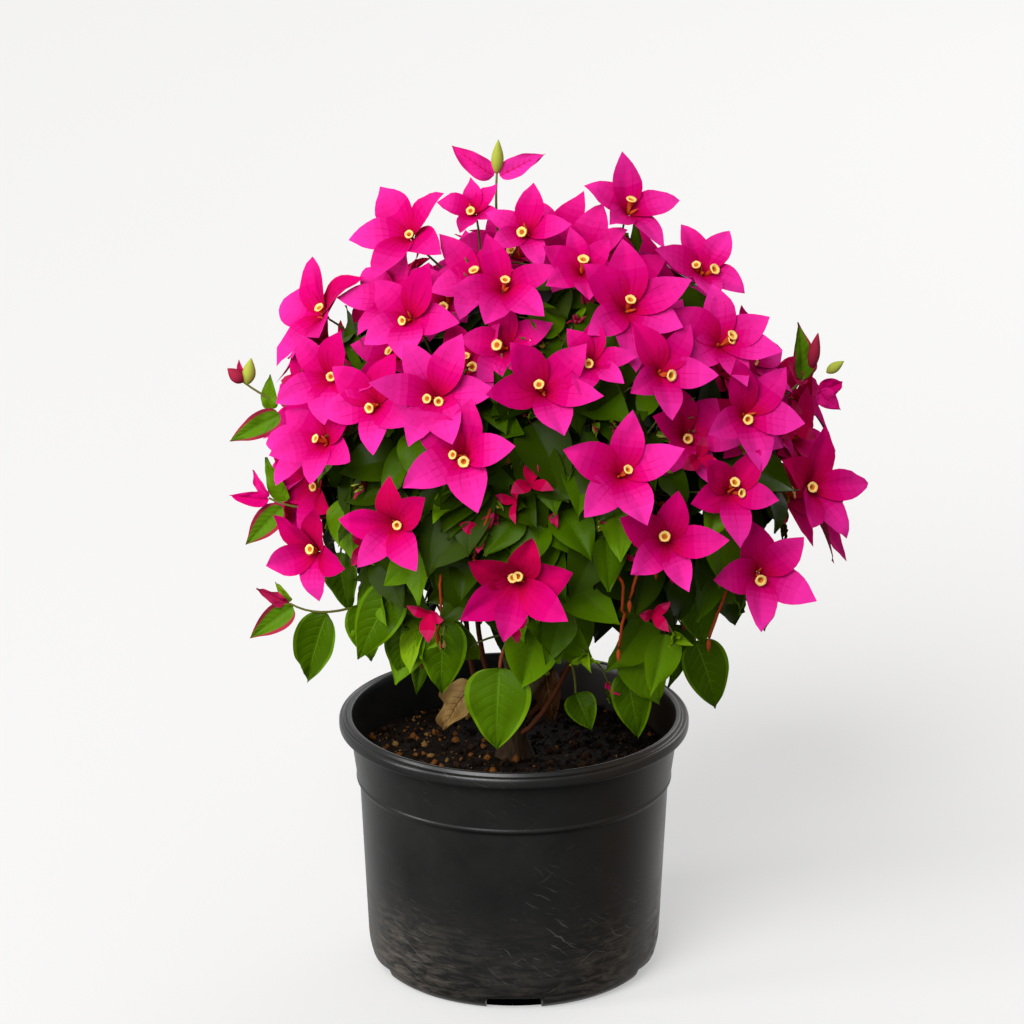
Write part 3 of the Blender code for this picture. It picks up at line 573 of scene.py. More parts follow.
trunk = {
    "foot": (0.0, -0.008), "fork": (0.008, -0.004, 0.222), "radius": 0.0068, "topRadius": 0.0058,
    "flare": 0.0062, "flareHeight": 0.010, "steps": (0.0, 0.08, 0.20, 0.36, 0.56, 0.78, 1.0),
    "ground": 0.1463, "rings": 90, "sides": 40, "ridges": 0.09, "knots": 0.22,
}
bough = {"rings": 44, "sides": 14, "ridges": 0.10, "knots": 0.16}


def trunkCurve(shares):
    # upright at the ground, then leaning over to the fork: a quadratic curve
    foot = np.array([*trunk["foot"], trunk["ground"]])
    fork = np.array(trunk["fork"])
    control = np.array([*trunk["foot"], fork[2] * 0.55 + foot[2] * 0.45])
    share = np.asarray(shares)[:, None]
    return quadratic(foot, control, fork, share)


def trunkRadii(shares, points):
    # a slow taper, with a flare that dies away above the ground
    flare = trunk["flare"] * np.exp(-(points[:, 2] - points[0, 2]) / trunk["flareHeight"])
    return mix(trunk["radius"], trunk["topRadius"], np.asarray(shares)) + flare


def growLimbs():
    # the coarse lines fix where boughs leave, as in the solids; the fine ones are drawn
    lines = {"trunk": trunkCurve(trunk["steps"])}
    lines["trunk"][1, :2] = trunk["foot"]
    widths = {"trunk": trunkRadii(trunk["steps"], lines["trunk"])}
    fine = {}
    for name, (azimuth, elevation, _, parent, fork, *_) in masses.items():
        if parent == "trunk" and elevation < 0:
            continue
        rise = crown["mainLeave"] if parent == "trunk" else elevation / 2 + crown["sideRise"]
        sizes = crown["mainRadii"]
        if parent != "trunk":
            sizes = (along(widths[parent], fork) * crown["rootShare"], crown["sideTipRadius"])
        start = along(lines[parent], fork)
        end = inCrown(axisOf(name), crown["boughReach"])
        lines[name] = bend(start, direction(azimuth, rise), end, axisOf(name), crown["boughSteps"])
        widths[name] = np.linspace(*sizes, crown["boughSteps"] + 1)
        fine[name] = (bend(start, direction(azimuth, rise), end, axisOf(name), bough["rings"] - 1),
                      np.linspace(*sizes, bough["rings"]))
    return lines, fine


def barkRelief(paths, sides, ridges, knots, seed):
    # long ridges that wander round the limb, finer cracks, and a swollen knot every so often
    count, steps = paths.shape[:2]
    angle = 2 * np.pi * np.arange(sides) / sides
    length = np.cumsum(np.linalg.norm(np.diff(paths, axis=1, prepend=paths[:, :1]), axis=2), 1)
    spot = np.stack(np.broadcast_arrays(
        np.cos(angle)[None, None] * 1.6, np.sin(angle)[None, None] * 1.6, length[..., None] * 55), -1)
    spot = spot + np.arange(count)[:, None, None, None] * 7.3 + seed
    fine = noise(spot * (1.9, 1.9, 1.2), 1.0, 5)
    node = noise(spot * (0.3, 0.3, 0.9), 1.0, 9)
    return 1 + ridges * noise(spot, 1.0, 3) + ridges * 0.5 * fine + knots * np.maximum(node - 0.25, 0)


def barkFinish(name, dark, light, green, scale):
    # streaked bark: fine grain stretched up the stem, lighter ridges and small pale pores
    tree, place = patterned(name, dark, 0.8, 0.12)
    long = addNode(tree, "ShaderNodeMapping", {"Vector": place, "Scale": (1, 1, 0.22)}).outputs[0]
    grain = noiseTexture(tree, long, scale, 7, 0.66)
    patch = noiseTexture(tree, place, 60, 3)
    pores = addNode(tree, "ShaderNodeTexVoronoi", {"Vector": place, "Scale": scale * 0.7}).outputs["Distance"]
    colour = ramp(tree, grain, (0.34, dark), (0.66, light))
    colour = colourMix(tree, ramp(tree, patch, (0.45, grey(0)), (0.70, grey(0.75))), colour, green)
    colour = colourMix(tree, ramp(tree, pores, (0.08, grey(0.6)), (0.20, grey(0))), colour, light)
    dress(tree, colour, remap(tree, grain, 0, 1, 0.95, 0.6), grain, 0.6, 0.0008)


limbLines, boughLines = growLimbs()
barkFinish("oldBark", (0.008, 0.0036, 0.0016), (0.050, 0.027, 0.013), (0.024, 0.016, 0.006), 420)
barkFinish("youngBark", (0.032, 0.018, 0.009), (0.130, 0.082, 0.040), (0.070, 0.075, 0.020), 520)

trunkShares = np.linspace(0, 1, trunk["rings"])
trunkPath = trunkCurve(trunkShares)
relief = barkRelief(trunkPath[None], trunk["sides"], trunk["ridges"], trunk["knots"], 2.0)
makePiece("trunkBark", tubes(trunkPath[None], trunkRadii(trunkShares, trunkPath)[None], trunk["sides"],
                             relief=relief), ["oldBark"], ["trunk"])

boughPaths, boughSizes = (np.stack(each) for each in zip(*boughLines.values()))
relief = barkRelief(boughPaths, bough["sides"], bough["ridges"], bough["knots"], 11.0)
makePiece("boughBark", tubes(boughPaths, boughSizes, bough["sides"], relief=relief), ["youngBark"],
          ["bough_" + name for name in boughLines])


bracts = {
    "rows": (0.03, 0.06, 0.09, 0.13, 0.18, 0.24, 0.32, 0.42, 0.53, 0.65, 0.77, 0.89, 1.0),
    "sides": (-1.0, -0.62, -0.28, -0.07, 0.07, 0.28, 0.62, 1.0),
    "halfWidth": 0.300, "widths": (0.88, 1.14), "funnelSlope": 50, "funnelDepth": 0.30, "twist": 0.10,
    "fold": 0.20, "curl": 0.20, "ripple": 0.07, "tilts": (0.08, 0.40), "lengths": (0.90, 1.12),
    "toneFade": 0.22, "inner": 0.82, "paintedLightShadeTones": (9.0, 23.9), "veinTones": 3.5, "light": (-0.12, -0.56, 0.82),
}
flowers = {
    "size": (1.10, 1.45), "sides": 10, "perBloom": (1, 1, 1, 1, 2), "spread": 0.0034, "lean": 20, "lobes": 0.03,
    "profile": ((0.8, 0.0), (1.1, 5.0), (1.7, 8.2), (2.7, 9.2), (2.3, 9.7), (1.3, 8.9), (0.9, 6.5)),
    "lobed": (0, 0, 0.3, 1, 1, 0, 0), "marks": (0, 0, 0, 1, 1, 2),
    "budSpread": (12, 30), "budLengths": (0.006, 0.011), "budWidths": (0.0008, 0.0013),
}
blooms = {
    "radius": 0.0365, "sizes": (0.98, 1.12), "fillSizes": (0.82, 1.00), "sink": 0.14, "spiral": 300,
    "sixBracts": 0.25, "twigRadii": (0.0009, 0.0007), "backSink": 0.035, "topSink": 0.26, "rightSink": 0.20,
    # the small blooms that fill the crown, and those at its front: lowest elevation, spacing and reach
    "fill": (-16, 0.031, (0.86, 0.95)), "frontFill": (14, 0.0285, (0.78, 0.86)),
    # how far the faces stray, and the open funnel: its foot and slope as shares of the size, its top, its width
    "stray": 0.10, "funnel": (0.1, 0.25, 0.040, 0.86),
}
# how large the solids' own blooms are beside the usual size, where they differ
ownSizes = {
    "top_left": (0.98, 0.64), "top_front": (0.72, 0.84, 0.72), "top_right": (0.88, 0.92),
    "left_shoulder": (1.08, 0.86), "left_side": (0.86, 0.88), "front_left_high": (0.86, 0.86),
    "front_left": (0.92, 0.92), "front_high": (0.98, 0.94), "front_right_high": (1.05, 0.72, 0.84),
    "right_shoulder": (0.92, 0.98), "front_low_left": (0.92,), "front_low": (0.98,),
    "front_low_right": (0.92, 0.80), "right_low": (0.88, 1.06), "right_high": (0.90, 0.86),
}


def facing(ways):
    # straight out of the crown, drawn towards the light on the lit side
    side = ways[..., 1:2] / np.linalg.norm(ways[..., :2], axis=-1, keepdims=True)
    return unit(ways + crown["light"] * crown["lightPull"] * (0.5 - 0.5 * side))


def crownForm(ways):
    # the share of the full reach left at each heading: the crown is lower behind its front top and at its
    # upper right, and a little flatter at the back
    top = blooms["topSink"] * blend(-0.15, 0.25, ways[..., 1]) * blend(0.3, 0.7, ways[..., 2])
    right = blooms["rightSink"] * blend(0.4, 0.8, ways[..., 0]) * blend(0.02, 0.35, ways[..., 2])
    right = right * blend(-0.5, -0.1, ways[..., 1])
    return 1 - top - right - blooms["backSink"] * blend(0.55, 0.9, ways[..., 1])


def bloomPlaces():
    # the solids' own blooms first, then smaller ones from a spiral round the crown wherever there is room
    rows = []
    for name, (azimuth, elevation, reach, _, _, count, ring, first, _) in masses.items():
        for index in range(count):
            axis = direction(azimuth, elevation)
            way = around(axis, np.array(float(ring)), np.array(first + 360.0 * index / count)) if ring else axis
            size = dice.uniform(*blooms["sizes"]) * ownSizes.get(name, (1, 1, 1))[index]
            rows.append((way, size, reach, name))
    heads = [each for each in masses if not each.startswith("skirt")]
    axes = np.stack([axisOf(each) for each in heads])
    rises = 1 - 2 * (np.arange(blooms["spiral"]) + 0.5) / blooms["spiral"]
    turns = np.arange(blooms["spiral"]) * crown["goldenTurn"]
    spiral = direction(turns, np.degrees(np.arcsin(rises)))
    for way in spiral[dice.permutation(len(spiral))]:
        front = way[1] < -0.30 or way[1] < 0.15 and way[2] > 0.75
        lowest, spacing, reach = blooms["frontFill" if front else "fill"]
        apart = np.linalg.norm(np.stack([row[0] for row in rows]) - way, axis=1) * crown["radius"]
        if way[2] >= np.sin(np.radians(lowest)) and apart.min() >= spacing:
            rows.append((way, dice.uniform(*blooms["fillSizes"]), dice.uniform(*reach),
                         heads[int((axes @ way).argmax())]))
    ways, sizes, reaches, owners = zip(*rows)
    ways = np.stack(ways)
    return ways, np.array(sizes) * blooms["radius"], np.array(reaches) * crownForm(ways), owners



def spreadOut(rows, sides):
    # rows and sides of a grid, given as two lists or as two whole grids, made ready for many copies
    if np.ndim(rows) > 1:
        return rows[None], sides[None]
    return np.asarray(rows)[None, :, None], np.asarray(sides)[None, None, :]


def starPlan(places, normals, sizes, downs, counts):
    # what is different in each bract: its bloom, its ray in the bloom's plane, its length, width, tilt and curl
    east = unit(np.cross(normals, (0.0, 0.0, 1.0)) + (1e-6, 0, 0))
    north = np.cross(east, normals)
    bloom = np.repeat(np.arange(len(places)), counts)
    order = np.concatenate([np.arange(count) for count in counts])
    amount = (len(bloom), 1, 1)
    turn = np.radians(downs[bloom] + 360.0 * order / counts[bloom] + dice.uniform(-13, 13, len(bloom)))[:, None]
    ray = east[bloom] * np.cos(turn) + north[bloom] * np.sin(turn)
    return {
        "bloom": bloom, "order": order[:, None, None], "place": places[bloom], "normal": normals[bloom],
        "ray": ray, "across": np.cross(ray, normals[bloom]), "size": sizes[bloom],
        "length": dice.uniform(*bracts["lengths"], amount), "tilt": dice.uniform(*bracts["tilts"], amount),
        "width": bracts["halfWidth"] * dice.uniform(*bracts["widths"], amount),
        "curl": dice.uniform(-0.6, 1.0, amount) * bracts["curl"],
    }


def starSurface(plan, rows, sides, raised=0.0):
    # each bloom is 5 or 6 bracts set round a funnel: in the bloom's own plane a bract goes out along
    # its ray by t and across it by s of its half width, and its height is a slope at the centre that
    # dies away outwards, plus a twist so that one edge lies over the next, a midrib fold and a curled tip
    t, s = spreadOut(rows, sides)
    outline = t ** 0.75 * np.maximum(1 - t, 0.0) ** 1.08
    wide = plan["width"] * (outline / 0.288 + 0.015) * s
    out = t * plan["length"] + 0 * s
    reach = np.sqrt(out ** 2 + wide ** 2)
    depth = bracts["funnelDepth"]
    bell = depth * (1 - np.exp(-reach * np.tan(np.radians(bracts["funnelSlope"])) / depth))
    own = plan["bloom"][:, None, None] * 3.1 + plan["order"]
    ripple = noise(np.stack(np.broadcast_arrays(out * 5, wide * 7, own), -1), 1.0, 4)
    height = (bell + plan["tilt"] * out - plan["curl"] * out ** 2.5 + bracts["twist"] * wide
              + bracts["fold"] * np.abs(wide) + bracts["ripple"] * ripple * t + 0.012 * (plan["order"] % 2) + raised)
    place, ray, across, normal = (plan[each][:, None, None] for each in ("place", "ray", "across", "normal"))
    size = plan["size"][:, None, None, None]
    return place + size * (ray * out[..., None] + across * wide[..., None] + normal * height[..., None])


def bractVeins():
    # thin strips on a bract, as (t, s) grids: the midrib and two pairs of side veins
    run = np.linspace(0, 1, 8)[:, None]
    edge = np.array((-1.0, 1.0))[None, :]
    for foot, tip, end, width in ((0, 0, 0.84, 0.030), (0.16, 0.50, 0.66, 0.022), (-0.16, -0.50, 0.66, 0.022),
                                  (0.40, 0.80, 0.44, 0.020), (-0.40, -0.80, 0.44, 0.020)):
        yield 0.06 + (end - 0.06) * run + 0 * edge, foot + (tip - foot) * run ** 0.8 + edge * width * (1.2 - run)


def spindles(origins, headings, lengths, widths, rings=5, marks=0, endMarks=0):
    # closed buds: round sections that swell as the sine of the way along and come to a point
    shares = np.linspace(0, 1, rings)
    swell = np.sin(np.pi * shares ** 0.8) * 0.92 + 0.08
    paths = origins[:, None] + unit(headings)[:, None] * (lengths[:, None] * shares)[..., None]
    return tubes(paths, widths[:, None] * swell, rings, marks, endMarks)


def flowerShape(origins, headings, sizes):
    # one slender trumpet for each place: the profile turned about the heading, with a slightly lobed mouth
    profile = np.array(flowers["profile"]) / 1000
    paths = origins[:, None] + headings[:, None] * (sizes[:, None] * profile[:, 1])[..., None]
    lobed = np.array(flowers["lobed"])[:, None] * flowers["lobes"] * np.cos(np.arange(flowers["sides"]) * np.pi)
    return tubes(paths, sizes[:, None] * profile[:, 0], flowers["sides"], np.array(flowers["marks"])[:, None], (0, 2),
                 1 + lobed, headings)


leaves = {
    "rows": (0.0, 0.02, 0.06, 0.12, 0.20, 0.31, 0.44, 0.57, 0.69, 0.80, 0.89, 0.96, 1.0),
    "sides": (-1.0, -0.5, -0.05, 0.05, 0.5, 1.0),
    "lengths": (0.034, 0.052), "skirtLengths": (0.036, 0.054), "halfWidth": (0.30, 0.38),
    "petiole": (0.005, 0.009), "petioleRadii": (0.00065, 0.0005, 0.00045),
    "fold": (0.05, 0.42), "arch": (0.1, 1.0), "ripple": 0.0020,
    "twigs": 8, "skirtTwigs": 4, "spread": (5, 17), "sideSpread": (8, 15), "reach": 0.86,
    "places": (0.35, 0.60, 0.82, 1.0), "sidePlaces": (0.55, 1.0), "leafTurn": 150, "turnSpread": (-20, 20),
    "twigReach": (0.86, 1.05), "sideReach": (0.74, 0.93), "rootShares": (0.1, 1.0), "sag": 0.35, "faceSpread": 0.22,
    "skirtRows": (0.0, 0.02, 0.05, 0.10, 0.17, 0.26, 0.36, 0.47, 0.58, 0.69, 0.79, 0.88, 0.95, 1.0),
    "skirtSides": (-1.0, -0.72, -0.42, -0.14, 0.0, 0.14, 0.42, 0.72, 1.0),
    "veinStarts": (0.05, 0.17, 0.29, 0.41, 0.53, 0.65), "veinRise": 0.20, "quilt": 0.0007,
    "frontHang": 0.212, "sideHang": 0.5, "backHang": 0.194, "openTop": 0.245, "openSide": 0.060,
    "twigRadii": (0.0011, 0.0006), "most": 1.03, "innerLeaves": 20, "skirtKept": (0.45, 0.7), "shaded": 0.80,
    "tones": (0.42, 0.80, 1.18), "skirtTones": (0.14, 0.62, 1.15),  # where each next brighter tone begins
    "potZone": (0.096, 0.119, 0.178, 0.152),  # no leaf in the pot's wall: inner and outer radius, top, soil's top
}


def leafShapes(bases, headings, faces, lengths, halves, folds, arches, rows, sides, raised=0.0, quilt=0.0,
               ripples=1.0):
    # each leaf is a grid that goes out along its heading by t and across by s of its half width, which
    # follows t^0.45 (1-t)^1.1; it folds up from the midrib, arches back towards the tip, is waved, and is
    # quilted where asked: raised by quilt between the side veins, which it meets at its lowest
    t, s = spreadOut(rows, sides)
    heading = unit(headings)
    across = unit(np.cross(heading, faces))
    normal = np.cross(across, heading)
    length, half, fold, arch = (each[:, None, None] for each in (lengths, halves, folds, arches))
    wide = half * np.maximum(2.54 * t ** 0.45 * (1 - t) ** 1.1, 0.03) * s
    out = length * np.sin(arch * t) / arch
    back = length * (1 - np.cos(arch * t)) / arch
    own = np.arange(len(bases))[:, None, None] * 5.7
    waves = noise(np.stack(np.broadcast_arrays(t * 5.0, s * 1.8 + 0 * t, own + 0 * t), -1), 1.0, 6)
    lift = fold * np.abs(wide) + leaves["ripple"] * ripples * waves * (0.2 + np.abs(s)) + raised
    lift = lift - 0.00025 * (np.abs(s) < 0.1)
    veinPlace = t - leaves["veinRise"] * (np.abs(s) / 0.86) ** 1.4 - leaves["veinStarts"][0]
    pitch = leaves["veinStarts"][1] - leaves["veinStarts"][0]
    lift = lift + quilt * (0.5 - 0.5 * np.cos(2 * np.pi * veinPlace / pitch)) * np.sin(np.pi * np.abs(s)) ** 0.7
    turnIn, turnOut = np.cos(arch * t), np.sin(arch * t)
    heading, across, normal = (each[:, None, None] for each in (heading, across, normal))
    return (bases[:, None, None] + heading * (out + lift * turnOut)[..., None] + across * wide[..., None]
            + normal * (lift * turnIn - back)[..., None])


def growTwigs():
    # every mass: a stem to its hub, twigs fanned about its axis by the golden angle, and a side twig on each
    stems, plans = [], []
    for number, name in enumerate(massNames):
        azimuth, elevation, reach, parent, fork, *_, droop = masses[name]
        axis = axisOf(name)
        hub = inCrown(axis, crown["hubReach"])
        skirt = name.startswith("skirt")
        start = along(limbLines["trunk"], fork) if skirt else limbLines[name][-1]
        leaving = direction(azimuth, crown["stemRise"]) if skirt else axis
        stem = bend(start, leaving, hub, axis, 11)
        stems.append(stem)
        count = leaves["skirtTwigs"] if skirt else leaves["twigs"]
        index = np.arange(count)
        spread = leaves["spread"][0] + leaves["spread"][1] * np.sqrt((index + 0.5) / count)
        ways = around(axis, spread, index * crown["goldenTurn"] + number * 41)
        ends = inCrown(ways, reach * leaves["reach"] * pickOf(leaves["twigReach"], count) * crownForm(ways))
        roots = mix(stem[-3], hub, pickOf(leaves["rootShares"], count)[:, None])
        plans.append((ways, roots, ends, np.broadcast_to(axis, ways.shape),
                      np.full(count, droop), np.full(count, number)))
    ways, roots, ends, axes, droops, owners = (np.concatenate(each) for each in zip(*plans))
    sag = np.column_stack([np.zeros((len(ways), 2)), -leaves["sag"] * droops])
    paths = bend(roots, axes, ends, unit(ways + sag), 9)
    main = (paths, ways, droops, owners)
    paths, ways, droops, owners = (each[droops < 1] for each in main)
    sideWays = around(ways, pickOf(leaves["sideSpread"], len(ways)), pickOf(wholeTurn, len(ways)))
    sideEnds = inCrown(sideWays, pickOf(leaves["sideReach"], len(ways)) * crownForm(sideWays))
    sidePaths = bend(paths[:, 5], paths[:, 6] - paths[:, 5], sideEnds, unit(sideWays + sag[:len(ways)]), 7)
    return stems, main, (sidePaths, sideWays, droops, owners)


def leavesOn(paths, ways, droops, owners, shares, first):
    # leaves stand along each twig, each turned on from the last, and face up and outwards
    count, steps = paths.shape[:2]
    place = np.array(shares) * (steps - 1)
    index = np.minimum(place.astype(int), steps - 2)
    spots = mix(paths[:, index], paths[:, index + 1], (place - index)[None, :, None])
    tangents = unit(paths[:, index + 1] - paths[:, index])
    turns = first[:, None] + np.arange(len(shares)) * leaves["leafTurn"]
    turns = np.radians(turns + pickOf(leaves["turnSpread"], (count, len(shares))))
    east = unit(np.cross(tangents, (0.02, 0.03, 1.0)))
    north = np.cross(east, tangents)
    side = east * np.cos(turns)[..., None] + north * np.sin(turns)[..., None]
    way = ways[:, None]
    down = np.array((0, 0, -1.0)) * droops[:, None, None]
    heading = unit(tangents * 0.45 + side * 0.8 + down + way * 0.15)
    stray = dice.normal(0, leaves["faceSpread"], heading.shape)
    face = unit(way * (1, 1, 0.5) + (0, 0, 0.55) - heading * 0.2 + stray)
    flat = (count * len(shares), 3)
    return (spots.reshape(flat), heading.reshape(flat), face.reshape(flat),
            np.repeat(owners, len(shares)), np.repeat(np.arange(count), len(shares)))


def clearOfBlooms(points, places, normals, sizes):
    # true where a point is not in the open funnel of any bloom
    kept = np.ones(len(points), bool)
    foot, slope, top, wide = blooms["funnel"]
    for place, normal, size in zip(places, normals, sizes):
        away = points - place
        height = away @ normal
        across = np.linalg.norm(away - height[:, None] * normal, axis=1)
        kept &= ~((height > foot * size + slope * across) & (height < top) & (across < wide * size))
    return kept


def clearOfPot(points):
    # true where a point is outside the pot's wall and rim and above the soil
    radius = np.hypot(points[:, 0], points[:, 1])
    inner, outer, top, soilTop = leaves["potZone"]
    inWall = (points[:, 2] < top) & (radius > inner) & (radius < outer)
    return ~(inWall | ((points[:, 2] < soilTop) & (radius < inner + 0.004)))


massStems, mainTwigs, sideTwigs = growTwigs()
bloomWays, bloomSizes, bloomReaches, bloomOwners = bloomPlaces()
bloomNormals = unit(facing(bloomWays) + dice.normal(0, blooms["stray"], bloomWays.shape))
bloomSpots = inCrown(bloomWays, bloomReaches) - bloomNormals * (bloomSizes * blooms["sink"])[:, None]
print("blooms:", len(bloomWays), "twigs:", 2 * len(mainTwigs[0]))

colours = {
    "twigRed": (0.105, 0.034, 0.016), "twigOlive": (0.115, 0.120, 0.032),
    "leafShade": (0.010, 0.022, 0.000), "leafDeep": (0.021, 0.042, 0.000), "leafMid": (0.044, 0.098, 0.000),
    "leafBright": (0.088, 0.185, 0.001), "leafFresh": (0.150, 0.265, 0.004), "leafBronze": (0.100, 0.050, 0.006),
    "leafRib": (0.085, 0.170, 0.006), "leafVein": (0.052, 0.115, 0.002), "leafEdged": (0.078, 0.180, 0.003),
    "leafLush": (0.056, 0.122, 0.001), "leafRim": (0.105, 0.205, 0.002), "leafDried": (0.330, 0.205, 0.070),
    "leafBrown": (0.130, 0.055, 0.022), "budGreen": (0.360, 0.400, 0.055), "budRed": (0.330, 0.020, 0.050),
    "bractYoung": (0.420, 0.012, 0.075), "stalkRust": (0.300, 0.045, 0.012), "stalkBrown": (0.200, 0.050, 0.020),
    "stemGreen": (0.150, 0.150, 0.030), "tubeOrange": (0.600, 0.090, 0.020), "tubeCream": (0.930, 0.640, 0.190),
    "tubeDark": (0.640, 0.210, 0.030),
}
# the bracts' tones run in even steps from the crimson throat to the brightest magenta: share, red, green, blue;
# besides the throat's own crimson, the steps are lit and shaded copies of the magenta that carry painted light and
# shade
toneKeys = np.array([
    (0.0, 0.270, 0.001, 0.009), (0.35, 0.455, 0.001, 0.056), (0.65, 0.545, 0.001, 0.138), (1.0, 0.745, 0.026, 0.320)])
toneCount = 24
for step in range(toneCount):
    colours["bract" + str(step)] = tuple(
        float(np.interp(step / (toneCount - 1), toneKeys[:, 0], channel)) for channel in toneKeys[:, 1:].T)
# leaves are glossier than bracts and stalks: roughness, then shine
for name, colour in colours.items():
    plainFinish(name, colour, *((0.36, 0.05) if name.startswith("leaf") else (0.55, 0.006)))


def toneShare(run):
    # how far a bract has come to its own tone: at once out of the throat, then slowly up to the tip
    run = np.maximum(run, 0)
    return (1 - np.exp(-run / bracts["toneFade"])) * mix(bracts["inner"], 1.0, np.minimum(run, 1) ** 0.8)


def bractPiece():
    # colour runs out from a dark crimson throat and down the midribs to the bract's body tone, which is painted light
    # and shade
    count = len(bloomSizes)
    counts = np.where(dice.uniform(0, 1, count) < blooms["sixBracts"], 6, 5)
    plan = starPlan(bloomSpots, bloomNormals, bloomSizes, -90 + dice.uniform(-24, 24, count), counts)
    bloom = plan["bloom"]
    run = np.convolve(bracts["rows"], (0.5, 0.5), "valid")[:, None] + dice.normal(0, 0.010, (len(bloom), 1, 1))
    # a bloom at the back gets the painted light and shade that its mirror image at the front would get
    mirror = np.where(bloomNormals[:, 1:2] > 0, (1, -1, 1), (1, 1, 1))[bloom]
    # painted light and shade: a bract gets a brighter tone the more it faces the light, and a darker one the deeper
    # its bloom sits in the crown
    lit = ((bloomNormals[bloom] - plan["ray"] * 0.50) * mirror) @ unit(np.array(bracts["light"]))
    lit += dice.normal(0, 0.10, count)[bloom] + dice.normal(0, 0.07, len(bloom)) - (1 - bloomReaches[bloom])
    body = np.interp(lit, (0.10, 1.05), bracts["paintedLightShadeTones"])[:, None, None]
    parts = [sheets(starSurface(plan, bracts["rows"], bracts["sides"]), (body * toneShare(run)).astype(int))]
    for t, s in bractVeins():
        shade = np.maximum(body - bracts["veinTones"], 0) * toneShare(t[:-1, :1])
        parts.append(sheets(starSurface(plan, t, s, 0.004), shade.astype(int)))
    makePiece("bracts", joined(parts), ["bract" + str(step) for step in range(toneCount)],
              [node for node in massNodes if "skirt" not in node])


def flowerPiece():
    # each bloom holds one or two cream-mouthed tubes and two closed buds
    counts = dice.choice(flowers["perBloom"], len(bloomSizes))
    bloom = np.repeat(np.arange(len(counts)), counts)
    away = around(bloomNormals[bloom], np.full(len(bloom), 90.0), pickOf(wholeTurn, len(bloom)))
    offset = np.where(counts[bloom] == 1, 0.2, 1.0) * flowers["spread"]
    origins = bloomSpots[bloom] + away * offset[:, None] * 0.6 + bloomNormals[bloom] * 0.001
    heading = unit(bloomNormals[bloom] + away * np.tan(np.radians(flowers["lean"])))
    trumpets = flowerShape(origins, heading, pickOf(flowers["size"], len(bloom)))
    buds = np.repeat(np.arange(len(counts)), 2)
    budWays = around(bloomNormals[buds], pickOf(flowers["budSpread"], len(buds)), pickOf(wholeTurn, len(buds)))
    sizes = [pickOf(flowers[each], len(buds)) for each in ("budLengths", "budWidths")]
    closed = spindles(bloomSpots[buds] + bloomNormals[buds] * 0.001, budWays, *sizes)
    makePiece("flowerTubes", joined([trumpets, closed]), ["tubeOrange", "tubeCream", "tubeDark"])


bractPiece()
flowerPiece()


def chooseLeaves():
    # all leaves of the crown; a leaf that would stand in a bloom, in the pot or past the crown is left out
    parts = []
    for twigs, shares, offset in ((mainTwigs, leaves["places"], 0), (sideTwigs, leaves["sidePlaces"], 1)):
        spots, heading, face, owner, twig = leavesOn(*twigs, shares, pickOf(wholeTurn, len(twigs[0])))
        parts.append((spots, heading, face, owner, twig * 2 + offset))
    limbSpots = np.concatenate([path[15:] for path, _ in boughLines.values()])
    picked = dice.integers(0, len(limbSpots), leaves["innerLeaves"] * len(boughLines))
    way = unit(limbSpots[picked] - crown["centre"] + dice.normal(0, 0.02, (len(picked), 3)))
    parts.append((limbSpots[picked], unit(way + dice.normal(0, 0.5, way.shape)),
                  unit(way + dice.normal(0, 0.3, way.shape) + (0, 0, 0.4)),
                  np.full(len(picked), -1), np.full(len(picked), -1)))
    spots, heading, face, owner, twig = (np.concatenate(each) for each in zip(*parts))
    skirt = np.array([name.startswith("skirt") for name in massNames] + [False])[owner]
    length = np.where(skirt, pickOf(leaves["skirtLengths"], len(spots)), pickOf(leaves["lengths"], len(spots)))
    stalk = pickOf(leaves["petiole"], len(spots))
    base = spots + heading * stalk[:, None]
    tip = base + heading * length[:, None]
    middle = mix(base, tip, 0.5)
    reach, tipReach = (np.linalg.norm(each - crown["centre"], axis=1) / crown["radius"] for each in (middle, tip))
    kept = (tipReach < leaves["most"] * crownForm(unit(tip - crown["centre"]))) | skirt
    for each in (middle, tip, mix(base, tip, 0.75)):
        kept &= clearOfBlooms(each, bloomSpots, bloomNormals, bloomSizes) & clearOfPot(each)
    # leaves differ in green at random by twig, with painted light and shade laid over that
    share = np.random.default_rng(5).uniform(0, 1, 2 * len(mainTwigs[0]) + 1)[twig]
    rise = (middle[:, 2] - crown["centre"][2]) / crown["radius"]
    lit = reach + 0.12 * share + 0.10 * skirt - 0.07 * blend(-0.45, -0.2, rise)
    kept &= ~skirt | (dice.uniform(0, 1, len(spots)) < np.where(middle[:, 1] > 0, *leaves["skirtKept"]))
    # painted light: lower leaves are moved towards brighter greens
    share = share + 0.35 * blend(-0.38, -0.55, rise)
    # painted shade: leaves deep in the crown and those on the limbs take the darkest green, leafShade
    tone = np.where((twig < 0) | (lit < leaves["shaded"]), 0, np.digitize(share, leaves["tones"]) + 1)
    # painted light: skirt leaves at the front take the brighter skirt tones
    tone = np.where(skirt & (middle[:, 1] < 0), np.digitize(share, leaves["skirtTones"]) + 1, tone)
    lowest = np.where(tip[:, 1] < 0, leaves["frontHang"], leaves["backHang"])
    kept &= ~skirt | (tip[:, 2] > lowest + leaves["sideHang"] * np.maximum(np.abs(tip[:, 0]) - 0.11, 0))
    gap = (middle[:, 1] < 0) & (middle[:, 2] < leaves["openTop"]) & (np.abs(middle[:, 0]) < leaves["openSide"])
    kept &= ~(skirt & gap)
    fine = skirt | ((middle[:, 1] < -0.05) & (middle[:, 2] < 0.42) & (tone > 1) & (tipReach > 0.86))
    print("fine leaves:", int(fine[kept].sum()), "of", int(kept.sum()))
    return [each[kept] for each in (base, heading, face, length, tone, spots, fine)]


